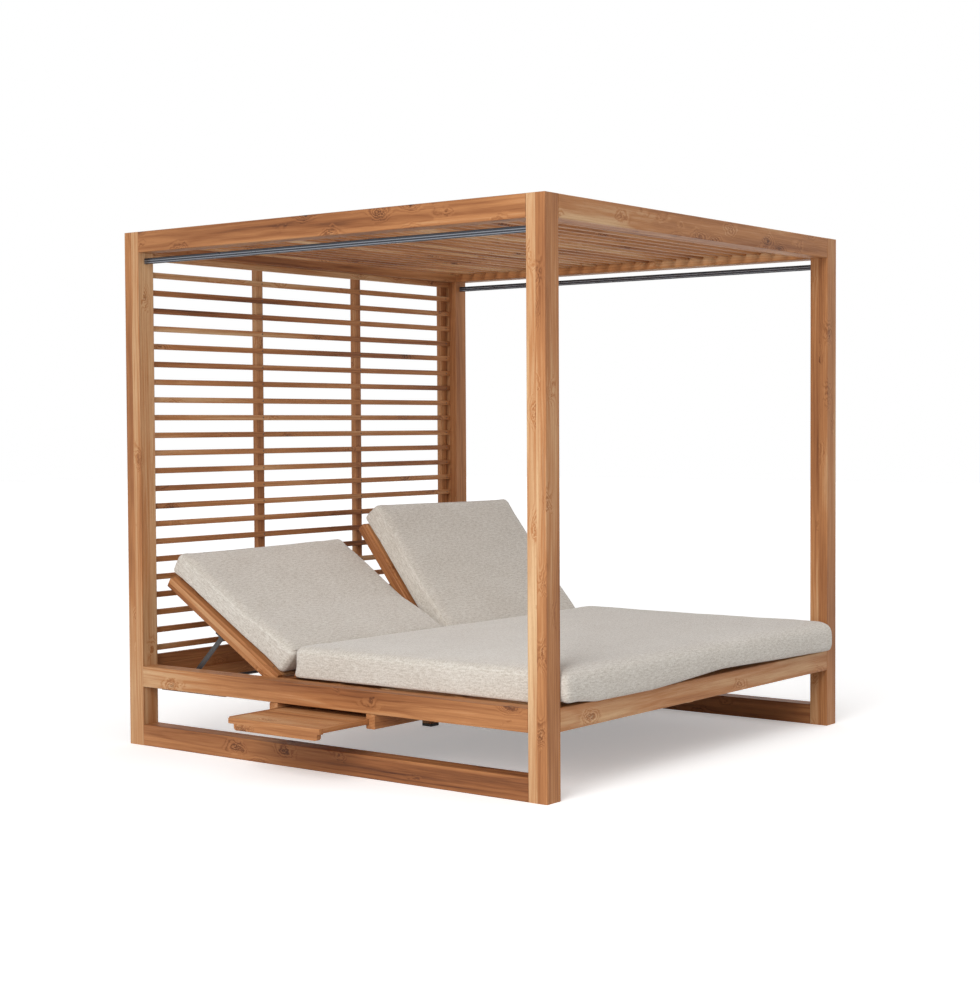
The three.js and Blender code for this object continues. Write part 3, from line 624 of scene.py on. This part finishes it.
class DAYBED_OT_rails(bpy.types.Operator):
    """Canopy rails, seat rails, floor rails, and the beams, ledge and leg under the seat"""
    bl_idname = "daybed.rails"
    bl_label = "Rails"

    def execute(self, context):
        radius = context.scene.daybed_sizes.edge_radius
        for axis, nodes in RAILS:
            for node in nodes:
                tone, knots, pith = RAIL_FACES.get(node, (0.45, 0.15, None))
                board = bar(*node_range(node), axis, radius, end_radius=0.8 * MM, tone=tone,
                            knots=knots, pith=pith)
                add_bars(f"{node}_board", [board], TEAK, "frame", node)
        foot = bar(*node_range("centre_leg_foot"), "z", 2 * MM)
        add_bars("centre_leg_pad", [foot], PLASTIC, "frame", "centre_leg_foot")
        dress_nodes("teak_along_y", "rack_left_outer", "rack_left_inner", "rack_right_outer",
                    "rack_right_inner")
        return {"FINISHED"}


class DAYBED_OT_seat(bpy.types.Operator):
    """Seat decks: wide slats along the bed on joists"""
    bl_idname = "daybed.seat"
    bl_label = "Seat decks"

    def execute(self, context):
        ease = context.scene.daybed_sizes.slat_edge_radius
        drawn_in, half_joist, thick = mm(40, 20, 12)
        for side_name in SIDES:
            node = f"seat_deck_{side_name}"
            low, high = node_range(node)
            slat_low = high[2] - thick
            ends = (low[0] + drawn_in, high[0]) if side_name == "left" else (low[0], high[0] - drawn_in)
            # Very dark deck slats, tone 0.12: painted shade under the mattress's edge
            bars = [bar((start, low[1] + drawn_in, slat_low), (start + SLAT_WIDTH, high[1], high[2]),
                        "y", ease, tone=0.12) for start in slat_starts(*ends)]
            bars += [bar((low[0], middle - half_joist, low[2]), (high[0], middle + half_joist, slat_low),
                         "x", ease) for middle in mm(-911.7, -578.35, -245, -11.5)]
            add_bars(f"{node}_slats", bars, TEAK, "frame", node)
        return {"FINISHED"}


class DAYBED_OT_head_screen(bpy.types.Operator):
    """Head screen: level slats on four upright battens, between a low board and a top board"""
    bl_idname = "daybed.head_screen"
    bl_label = "Head screen"

    def execute(self, context):
        sizes = context.scene.daybed_sizes
        low, high = node_range("head_screen")
        lowest_slat, low_board, top_board, thick = mm(371, 34.7, 24, 15.4)
        slat_back = low[1] + thick
        battens = batten_middles(920 * MM)
        bars, heads = [], []
        for index in range(22):
            middle = lowest_slat + index * sizes.screen_pitch
            bars.append(slat((low[0], low[1], middle - sizes.screen_slat / 2),
                             (high[0], slat_back, middle + sizes.screen_slat / 2), "x", 0.40))
            heads += [(across, low[1], middle) for across in battens]
        for bottom, top in ((low[2], low[2] + low_board), (high[2] - top_board, high[2])):
            bars.append(slat((low[0], low[1], bottom), (high[0], slat_back, top), "x"))
        bars += batten_slats(battens, (slat_back, low[2]), high[1:], "z", 0.36)
        add_bars("head_screen_slats", bars, TEAK, "frame", "head_screen")
        add_screws("head_screen_screws", heads, (0, -1, 0), "frame")
        return {"FINISHED"}


class DAYBED_OT_canopy(bpy.types.Operator):
    """Canopy: three panels of cross slats hanging from battens along the bed"""
    bl_idname = "daybed.canopy"
    bl_label = "Canopy"

    def execute(self, context):
        half_slat = context.scene.daybed_sizes.canopy_slat / 2
        battens = batten_middles(927.5 * MM)
        run, first_edge, thick = mm(1864, -932, 22)
        slats_each = 9
        pitch = run / (slats_each * len(PANELS))
        heads = []
        for place, panel in enumerate(PANELS):
            node = f"canopy_panel_{panel}"
            low, high = node_range(node)
            slat_top = low[2] + thick
            start = first_edge + place * slats_each * pitch
            bars = []
            for index in range(slats_each):
                middle = start + (index + 0.5) * pitch
                bars.append(slat((low[0], middle - half_slat, low[2]),
                                 (high[0], middle + half_slat, slat_top), "x", 0.45))
                heads += [(across, middle, low[2]) for across in battens]
            bars += batten_slats(battens, (low[1], slat_top), high[1:], "y", 0.35)
            add_bars(f"{node}_slats", bars, TEAK, "frame", node)
        add_screws("canopy_screws", heads, (0, 0, -1), "frame")
        return {"FINISHED"}


class DAYBED_OT_curtain_rails(bpy.types.Operator):
    """Curtain rails: a slim dark bar with two lips along each side, pale as bare aluminium and as a painted
    highlight
    """
    bl_idname = "daybed.curtain_rails"
    bl_label = "Curtain rails"

    def execute(self, context):
        height = context.scene.daybed_sizes.rail_height
        half = height * 0.36
        proud, lip_height, raised = mm(1.2, 3, 3)
        for side_name in SIDES:
            node = f"curtain_track_{side_name}"
            low, high = node_range(node)
            middle = (low[0] + high[0]) / 2
            bottom = low[2] + raised
            core = bar((middle - half, low[1], bottom), (middle + half, high[1], bottom + height),
                       "y", 2.4 * MM, end_radius=0.5 * MM, steps=3)
            add_bars(f"curtain_rail_{side_name}", [core], RAIL, "frame", node)
            # The lips are pale as bare aluminium and as a painted highlight along the rail's channels
            lips = [bar((middle - half - proud, low[1], lip),
                        (middle + half + proud, high[1], lip + lip_height), "y", 0.9 * MM,
                        end_radius=0.5 * MM) for lip in bottom + mm(2.6, 11)]
            add_bars(f"curtain_rail_{side_name}_lips", lips, RAIL_LIP_HIGHLIGHT, "frame")
        return {"FINISHED"}


# Backrests, props and trays

# Tones of each backrest's two stile boards; the right backrest's very dark tones are painted shade
STILE_TONES_AND_SHADE = {"left": (0.40, 0.56), "right": (0.04, 0.20)}
# Millimetres across the bed of each bracket's ear, plate and stud
BRACKETS = {
    "outer": ((923.3, 928.3), (923.3, 943), (915, 931.5)),
    "inner": ((22.7, 27.7), (8, 27.7), (21.6, 36)),
}


def backrest_place(side_name):
    return Matrix.Translation(PIVOT) @ Matrix.Rotation(TILT[side_name], 4, "X")


def mirrored(side, near, far):
    return (near, far) if side > 0 else (-far, -near)


class DAYBED_OT_backrests(bpy.types.Operator):
    """Backrest frames: two glued stiles, two rails and the slats over them"""
    bl_idname = "daybed.backrests"
    bl_label = "Backrest frames"

    def execute(self, context):
        sizes = context.scene.daybed_sizes
        thick, slat_low, slat_top = mm(20, 20.3, 32.3)
        heel, head, slat_end = mm(-24, 665, 655)
        for side_name, side in SIDES.items():
            placing = backrest_place(side_name)
            body = f"backrest_{side_name}"
            for place, edges in {"outer": mm(895, 945), "inner": mm(6, 56)}.items():
                node = f"back_stile_{side_name}_{place}"
                x_low, x_high = mirrored(side, *edges)
                bars = split_bars((x_low, heel, -thick), (x_high, head, thick), "y", 2,
                                  sizes.stile_edge_radius, sizes.glue_line, STILE_TONES_AND_SHADE[side_name])
                add_bars(f"{node}_boards", bars, TEAK, body, node, placing=placing)
            x_low, x_high = mirrored(side, *mm(56.3, 894.7))
            bars = [bar((x_low, start, -thick), (x_high, stop, thick), "x", sizes.slat_edge_radius)
                    for start, stop in (mm(24, 74), mm(605, 665))]
            heads = []
            for left in slat_starts(*mirrored(side, *mm(11, 940))):
                bars.append(bar((left, 0, slat_low), (left + SLAT_WIDTH, slat_end, slat_top), "y",
                                sizes.slat_edge_radius))
                heads += [(left + SLAT_WIDTH / 2 + shift, along, slat_top)
                          for along in mm(49, 630) for shift in mm(-25, 25)]
            node = f"back_slats_{side_name}"
            add_bars(f"{node}_boards", bars, TEAK, body, node, placing=placing)
            add_screws(f"{node}_screws", heads, (0, 0, 1), body, placing)
        dress_nodes("prop_steel", "hinge_pin_left", "hinge_pin_right", "hinge_pin_centre", "hinge_bracket")
        return {"FINISHED"}


class DAYBED_OT_props(bpy.types.Operator):
    """Folding props: two flat bars and a round bar, on studs in screwed brackets"""
    bl_idname = "daybed.props"
    bl_label = "Props"

    def execute(self, context):
        reach, half, thin, cross = mm(265, 10, 2.5, 6)
        pivot_s, pivot_n, plate_top = mm(330, -32, -20.3)
        plate_half, plate_thick, ear_half, stud_half = mm(22.5, 4, 12, 5)
        for side_name, side in SIDES.items():
            placing = backrest_place(side_name)
            angle = -PROP_LEAN[side_name] - TILT[side_name]
            prop_place = placing @ Matrix.Translation((0, pivot_s, pivot_n)) @ Matrix.Rotation(angle, 4, "X")
            middles = mm(31, 920) * side
            bars = [bar((middle - thin, -half, -half), (middle + thin, reach + half, half), "x",
                        half * 0.99, end_radius=0.9 * MM, steps=6) for middle in middles]
            bars.append(bar((min(middles), reach - cross, -cross), (max(middles), reach + cross, cross),
                            "x", 5.95 * MM, end_radius=0.5 * MM, steps=4))
            node = f"prop_{side_name}"
            add_bars(f"{node}_bars", bars, STEEL, node, node, placing=prop_place)
            for place, spans in BRACKETS.items():
                ear, plate, stud = (mirrored(side, *mm(*span)) for span in spans)
                bars = [
                    bar((plate[0], pivot_s - plate_half, plate_top - plate_thick),
                        (plate[1], pivot_s + plate_half, plate_top), "z", 2 * MM,
                        end_radius=0.5 * MM, steps=3),
                    bar((ear[0], pivot_s - ear_half, pivot_n - ear_half),
                        (ear[1], pivot_s + ear_half, plate_top - plate_thick / 2), "x",
                        mm(0.3, 0.3, 11.9, 11.9), end_radius=0.5 * MM, steps=5),
                    bar((stud[0], pivot_s - stud_half, pivot_n - stud_half),
                        (stud[1], pivot_s + stud_half, pivot_n + stud_half), "x", 4.95 * MM,
                        end_radius=1.2 * MM, steps=4),
                ]
                node = f"prop_bracket_{side_name}_{place}"
                add_bars(f"{node}_steel", bars, STEEL, f"backrest_{side_name}", node, placing=placing)
        return {"FINISHED"}


class DAYBED_OT_trays(bpy.types.Operator):
    """Sliding trays with slatted tops and finger lips, and their runners"""
    bl_idname = "daybed.trays"
    bl_label = "Trays"

    def execute(self, context):
        ease = context.scene.daybed_sizes.slat_edge_radius
        count = 5
        gap, rail = mm(3, 20)
        board_thick, board_short, lip_start, lip_short, lip_under = mm(21, 24, 11, 51, 19)
        for side_name in SIDES:
            body = f"tray_{side_name}"
            node = f"tray_panel_{side_name}"
            low, high = node_range(node)
            inner_low, inner_high = low[1] + rail, high[1] - rail
            bars = [bar((low[0], start, low[2]), (high[0], stop, high[2]), "x", ease)
                    for start, stop in ((low[1], inner_low), (inner_high, high[1]))]
            width = (high[0] - low[0] - (count - 1) * gap) / count
            for index in range(count):
                start = low[0] + index * (width + gap)
                bars.append(bar((start, inner_low, low[2]), (start + width, inner_high, high[2]), "y", ease))
            add_bars(f"{node}_slats", bars, TEAK, body, node)
            node = f"tray_front_{side_name}"
            low, high = node_range(node)
            board = bar((low[0], low[1], high[2] - board_thick), (high[0], high[1] - board_short, high[2]),
                        "y", 3 * MM, end_radius=2 * MM, tone=0.62)
            lip = bar((low[0], low[1] + lip_start, low[2]),
                      (high[0], high[1] - lip_short, high[2] - lip_under), "x", mm(0.4, 0.4, 15, 15),
                      end_radius=2.5 * MM, steps=5, grain_axis="y")
            add_bars(f"{node}_board", [board, lip], TEAK, body, node)
            dress_nodes("teak_along_x", f"tray_runner_{side_name}_foot", f"tray_runner_{side_name}_head")
        return {"FINISHED"}


# Upholstery


def replace_points(mesh, points):
    mesh.vertices.foreach_set("co", points.astype(np.float32).ravel())
    mesh.update()


def gathered(items, key, width=1, kind=np.float32):
    """One value or vector of every vertex, face or corner as an array."""
    values = np.empty(len(items) * width, kind)
    items.foreach_get(key, values)
    return values


def mesh_points(mesh):
    return gathered(mesh.vertices, "co", 3).reshape(-1, 3).astype(float)


def applied(piece):
    """The piece's mesh as its modifiers leave it, in place of the one it had."""
    graph = bpy.context.evaluated_depsgraph_get()
    made = bpy.data.meshes.new_from_object(piece.evaluated_get(graph))
    piece.modifiers.clear()
    piece.data = made
    return made


def swell(piece, voxel, cap, shape):
    """Remeshes the piece into even cloth, gives it its shape, and blows it up for twenty
    frames. A point's move is eased towards the cap: the cap times tanh of move over cap."""
    frames = 20
    remesh = piece.modifiers.new("even mesh", "REMESH")
    remesh.mode = "VOXEL"
    remesh.voxel_size = voxel
    mesh = applied(piece)
    start = shape(mesh_points(mesh))
    replace_points(mesh, start)
    cloth = piece.modifiers.new("stuffing", "CLOTH")
    settings = cloth.settings
    settings.use_pressure = True
    settings.uniform_pressure_force = 3.2
    settings.effector_weights.gravity = 0
    settings.quality = 4
    settings.mass = 0.4
    settings.tension_stiffness = settings.compression_stiffness = 18
    settings.shear_stiffness = 8
    settings.bending_stiffness = 1.5
    cloth.collision_settings.use_collision = False
    cloth.point_cache.frame_start, cloth.point_cache.frame_end = 1, frames
    scene = bpy.context.scene
    for step in range(1, frames + 1):
        scene.frame_set(step)
    mesh = applied(piece)
    scene.frame_set(1)
    move = mesh_points(mesh) - start
    distance = np.linalg.norm(move, axis=1, keepdims=True) + 1e-9
    replace_points(mesh, start + move * (cap * np.tanh(distance / cap) / distance))
    return mesh


def fitted(points, low, high):
    """Each axis is stretched evenly, so that the cloth reaches from the low to the high corner."""
    least, most = points.min(0), points.max(0)
    return low + (points - least) * ((high - low) / (most - least))


def add_weave(mesh, shift):
    """Box-projected map in metres: each face takes the two axes that it faces least, with the
    bed's width as the weft wherever it can be."""
    normals = gathered(mesh.polygons, "normal", 3).reshape(-1, 3)
    totals = gathered(mesh.polygons, "loop_total", kind=np.int32)
    main = np.repeat(np.abs(normals).argmax(1), totals)[:, None]
    place = mesh_points(mesh)[gathered(mesh.loops, "vertex_index", kind=np.int32)] + shift
    flat = np.where(main == 2, place[:, [0, 1]], np.where(main == 1, place[:, [0, 2]], place[:, [1, 2]]))
    mesh.uv_layers.new(name="weave").data.foreach_set("uv", flat.astype(np.float32).ravel())


def round_corners(points, low, high, radius):
    """In plan, each corner's square of the given radius is drawn onto its quarter disc: the
    offset keeps its direction and its longer share becomes its length. The radius may be one
    for all points or one for each."""
    middle, half = (low + high) / 2, (high - low) / 2
    offset = points[:, :2] - middle[:2]
    radius = np.broadcast_to(radius, len(points))[:, None]
    beyond = np.clip(np.abs(offset) - (half[:2] - radius), 0, None) / radius
    distance = np.linalg.norm(beyond, axis=1, keepdims=True)
    scale = beyond.max(1, keepdims=True) / np.maximum(distance, 1e-9)
    moved = np.where(beyond.min(1, keepdims=True) > 0,
                     np.sign(offset) * (half[:2] - radius + beyond * radius * scale), offset)
    return np.column_stack((moved + middle[:2], points[:, 2]))


def smooth_step(value, start, stop):
    """Zero up to start and one from stop, both in millimetres, on an S-shaped curve between."""
    start, stop = start * MM, stop * MM
    share = np.clip((value - start) / (stop - start), 0, 1)
    return share * share * (3 - 2 * share)


def add_seam(name, path, surface, reach, lift, placing, body):
    """A folded seam as a thin tube: the path is drawn to the cloth by a bell-shaped average of
    the points near it, lifted outwards, and a small circle is carried along it."""
    found = []
    for part in np.array_split(path, max(1, len(path) // 64)):
        gap = ((part[:, None] - surface[None]) ** 2).sum(-1)
        weight = np.exp(-gap / (2 * reach * reach)) + 1e-30
        found.append((weight @ surface) / weight.sum(1, keepdims=True))
    line = np.concatenate(found) + lift
    for _ in range(3):
        line = (np.roll(line, 1, 0) + 2 * line + np.roll(line, -1, 0)) / 4
    ahead = np.roll(line, -1, 0) - np.roll(line, 1, 0)
    ahead /= np.linalg.norm(ahead, axis=1, keepdims=True)
    side = np.cross(ahead, (0, 0, 1))
    side /= np.linalg.norm(side, axis=1, keepdims=True)
    over = np.cross(side, ahead)
    around, count = 8, len(line)
    angle = np.arange(around) * math.tau / around
    ripple = 1 + 0.12 * np.sin(np.arange(count) * 2.1)
    ring = (np.cos(angle)[None, :, None] * side[:, None] + np.sin(angle)[None, :, None] * over[:, None])
    points = line[:, None] + ring * (bpy.context.scene.daybed_sizes.seam_radius * ripple)[:, None, None]
    quads = grid_quads(count, around, closed=True)[:, [0, 3, 2, 1]]
    mesh = new_mesh(name, points.reshape(-1, 3), quads.tolist())
    merge_doubles(mesh)
    mesh.shade_smooth()
    add_weave(mesh, (0.0, 0.0, 0.0))
    mesh.transform(placing)
    return finish_piece(link(mesh, name), FABRIC, body)


def closed_outline(low, high, radius, step):
    """A rounded rectangle walked at even steps: its sides and quarters joined and resampled by
    the length along them."""
    outline = rounded_outline((high - low)[:2] / 2, radius, 8)[0]
    loop = np.vstack((outline, outline[:1]))
    run = np.concatenate(([0], np.cumsum(np.linalg.norm(np.diff(loop, axis=0), axis=1))))
    walk = np.linspace(0, run[-1], int(run[-1] / step), endpoint=False)
    middle = (low[:2] + high[:2]) / 2
    return np.column_stack((np.interp(walk, run, loop[:, 0]), np.interp(walk, run, loop[:, 1]))) + middle


def padded_start(name, low, high, radii, end_radius):
    one = bar(low, high, "x", radii, end_radius=end_radius, steps=4)
    return link(new_mesh(name, one["points"], ring_faces(one["rings"], one["round"], 0)), name)


def finish_padded(piece, placing, body, node, weave_shift):
    mesh = piece.data
    add_weave(mesh, weave_shift)
    mesh.transform(placing)
    mesh.shade_smooth()
    rounder = piece.modifiers.new("finer cloth", "SUBSURF")
    rounder.levels = rounder.render_levels = 1
    finish_piece(piece, FABRIC, body, node)


class DAYBED_OT_mattress(bpy.types.Operator):
    """Mattress: a stuffed pad that overhangs the foot rail in a soft wave"""
    bl_idname = "daybed.mattress"
    bl_label = "Mattress"

    def execute(self, context):
        low, high = mm(-937, -1026, 322.9), mm(937, 186, 429)
        side, overhang, corner, post_corner = 944, 14, 30 * MM, 10 * MM
        edge = context.scene.daybed_sizes.mattress_edge
        piece = padded_start("mattress_pad", low, high, (edge, 46 * MM, 10 * MM, 4 * MM), edge)

        def shape(points):
            near_post = (points[:, 0] < 0) & (points[:, 1] < 0)
            return round_corners(points, low, high, np.where(near_post, post_corner, corner))

        mesh = swell(piece, 13 * MM, 9 * MM, shape)
        points = fitted(mesh_points(mesh), mm(-side, -1033, 319), mm(side, 196, 438))
        x, y, z = points.T
        above = smooth_step(z, 326, 400)
        z[:] = np.maximum(z, low[2])
        # Between the posts the side reaches further out, over the rail, with a crisp lower edge
        between_posts = smooth_step(y, -930, -895)
        x *= 1 + between_posts * overhang / side
        outward = np.abs(x)
        crisp = between_posts * smooth_step(outward, 926, side) * (1 - smooth_step(z, 334, 356))
        x += np.sign(x) * crisp * ((side + overhang) * MM - outward) * 0.85
        droop = 12 * MM * smooth_step(np.abs(x), 926, 955)
        # Over the foot rail the lower edge sags in a wave
        places = mm(-side, -860, -745, -400, -220, 80, 350, 550, side)
        sags = mm(5, 6, 20, 21, 13, -4, 2, 7, 13)
        sag = np.interp(x, places, sags) * smooth_step(-y, 996, 1012)
        z -= (sag + droop * between_posts) * (1 - above)
        # The right backrest's cushion presses on the head end, and the far corner reaches out
        pressed = smooth_step(x, 20, 60) * smooth_step(y, 120, 190)
        y -= 14 * MM * pressed * smooth_step(z, 360, 400)
        y -= 16 * MM * (smooth_step(x, -900, 900) * smooth_step(-y, 900, 1030))
        replace_points(mesh, points)
        finish_padded(piece, Matrix.Translation(ORIGIN), "frame", "mattress", (3.1, 1.7, 0.4))
        return {"FINISHED"}


# Slope of the thickening towards the seat, lift of the inner tip corner, where along the
# cushion it is held while it is squashed, and how much of its length it keeps
CUSHIONS = {"left": (0.142, 17 * MM, 420 * MM, 0.91), "right": (0.06, 9 * MM, 300 * MM, 0.94)}


class DAYBED_OT_back_cushions(bpy.types.Operator):
    """Back cushions: stuffed pads, thicker towards the seat"""
    bl_idname = "daybed.back_cushions"
    bl_label = "Back cushions"

    def execute(self, context):
        edge = context.scene.daybed_sizes.cushion_edge
        corner, thickens_from, leans_about, held_at = mm(20, 262, 82, 80)
        for side_name, side in SIDES.items():
            placing = Matrix.Translation(ORIGIN) @ backrest_place(side_name)
            body = f"backrest_{side_name}"
            node = f"back_cushion_{side_name}"
            slope, lift, hold, keep = CUSHIONS[side_name]
            x_low, x_high = mirrored(side, 14, 929)
            low, high = mm(x_low, -6, 32.7), mm(x_high, 682, 118)
            piece = padded_start(f"{node}_pad", low, high, (16 * MM, edge, 9 * MM, 12 * MM), edge)

            def wedge(points):
                height = (points[:, 2] - low[2]) / (high[2] - low[2])
                return height * np.clip(thickens_from - points[:, 1], 0, None) * slope

            def shape(points):
                points = round_corners(points, low, high, corner)
                points[:, 2] += wedge(points)
                return points

            mesh = swell(piece, 9 * MM, 10 * MM, shape)
            points = mesh_points(mesh)
            points[:, 2] -= wedge(points)
            x_low, x_high = mirrored(side, 7, 934)
            points = fitted(points, mm(x_low, -14, 31), mm(x_high, 691, 130))
            x, y, z = points.T
            z += wedge(points)
            z[:] = np.maximum(z, low[2])
            inner = 1 - smooth_step(np.abs(x), 0, 800)
            z += lift * inner * smooth_step(y, 150, 640) * smooth_step(z, 40, 110)
            # The left cushion's end at the seat leans over the mattress
            if side_name == "left":
                y -= 0.12 * (z - leans_about) * (1 - smooth_step(y, 0, 110))
            replace_points(mesh, points)
            outline = closed_outline(low, high, corner, 8 * MM)
            top = np.column_stack((outline, np.full(len(outline), high[2])))
            top[:, 2] += wedge(top)
            seam = add_seam(f"{node}_seam", top, points, 6 * MM, (0, 0, 2 * MM), placing, body)
            finish_padded(piece, placing, body, node, (1.3 * side, 0.6, 0.2))
            for soft in (piece, seam):
                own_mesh(soft)
        return {"FINISHED"}


# Stage


def facing(direction, axis):
    return Vector(direction).to_track_quat(axis, "Y").to_matrix().to_4x4()


class DAYBED_OT_stage(bpy.types.Operator):
    """Camera, pale floor, white surroundings and soft lamps"""
    bl_idname = "daybed.stage"
    bl_label = "Stage"

    def execute(self, context):
        scene = context.scene
        # The photograph's camera, solved from the edges of posts and rails
        data = bpy.data.cameras.new("camera")
        data.lens, data.sensor_width = 67.76, 36.0
        data.clip_end = 200
        yaw, pitch, roll = -0.9165, -0.0351, -0.0052
        turned = (Matrix.Rotation(yaw, 4, "Z") @ Matrix.Rotation(math.pi / 2 + pitch, 4, "X")
                  @ Matrix.Rotation(roll, 4, "Z"))
        scene.camera = link(data, "camera")
        scene.camera.matrix_world = Matrix.Translation((-5.77745, -4.5069, 1.2424)) @ turned
        scene.view_settings.view_transform = "Standard"

        reach = 30.0
        corners = np.array([(-reach, -reach, 0), (reach, -reach, 0), (reach, reach, 0), (-reach, reach, 0)])
        mesh = new_mesh("studio_floor", corners, [(0, 1, 2, 3)])
        mesh.materials.append(finish("studio_floor"))
        floor = link(mesh, "studio_floor")

        world = bpy.data.worlds.new("studio")
        scene.world = world
        world.use_nodes = True
        tree = world.node_tree
        tree.nodes.clear()
        strength = eased(tree, seen_directly(tree), 0.0, 1.0, 0.44, 1.0)
        sky = shader_node(tree, "Background", Color=WHITE, Strength=strength)
        shader_node(tree, "OutputWorld", Surface=sky.outputs[0])

        for name, towards, level, spread in (("key_lamp", (-0.82, -0.21, 0.56), 0.42, 0.62),
                                             ("fill_lamp", (0.75, -0.25, 0.62), 0.15, 0.9)):
            lamp = bpy.data.lights.new(name, "SUN")
            lamp.energy = level * math.pi
            lamp.angle = spread
            link(lamp, name).matrix_world = facing(towards, "Z")
        lamp = bpy.data.lights.new("near_lamp", "AREA")
        lamp.shape = "SQUARE"
        lamp.size = 1.6
        lamp.energy = 31
        place = Matrix.Translation(Vector((-3.6, -1.5, 1.7)) + Vector(ORIGIN))
        link(lamp, "near_lamp").matrix_world = place @ facing((2.6, 0.55, -0.45), "-Z")
        return {"FINISHED"}


class DAYBED_PT_panel(bpy.types.Panel):
    bl_idname = "DAYBED_PT_panel"
    bl_label = "Daybed"
    bl_space_type = "VIEW_3D"
    bl_region_type = "UI"
    bl_category = "Daybed"

    def draw(self, context):
        for group in (context.scene.daybed_sizes, context.scene.daybed_colours):
            column = self.layout.column()
            for key in group.bl_rna.properties.keys():
                if key not in ("rna_type", "name"):
                    column.prop(group, key)
        for operator in OPERATORS:
            self.layout.operator(operator.bl_idname)


OPERATORS = (
    DAYBED_OT_stage,
    DAYBED_OT_posts,
    DAYBED_OT_rails,
    DAYBED_OT_seat,
    DAYBED_OT_head_screen,
    DAYBED_OT_canopy,
    DAYBED_OT_curtain_rails,
    DAYBED_OT_backrests,
    DAYBED_OT_props,
    DAYBED_OT_trays,
    DAYBED_OT_mattress,
    DAYBED_OT_back_cushions,
)
CLASSES = (DaybedSizes, DaybedColours) + OPERATORS + (DAYBED_PT_panel,)


def register():
    for one in CLASSES:
        bpy.utils.register_class(one)
    bpy.types.Scene.daybed_sizes = bpy.props.PointerProperty(type=DaybedSizes)
    bpy.types.Scene.daybed_colours = bpy.props.PointerProperty(type=DaybedColours)


def unregister():
    del bpy.types.Scene.daybed_colours
    del bpy.types.Scene.daybed_sizes
    for one in reversed(CLASSES):
        bpy.utils.unregister_class(one)


def main():
    register()
    for operator in OPERATORS:
        getattr(bpy.ops.daybed, operator.bl_idname.partition(".")[2])()
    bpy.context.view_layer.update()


if __name__ == "__main__":
    main()
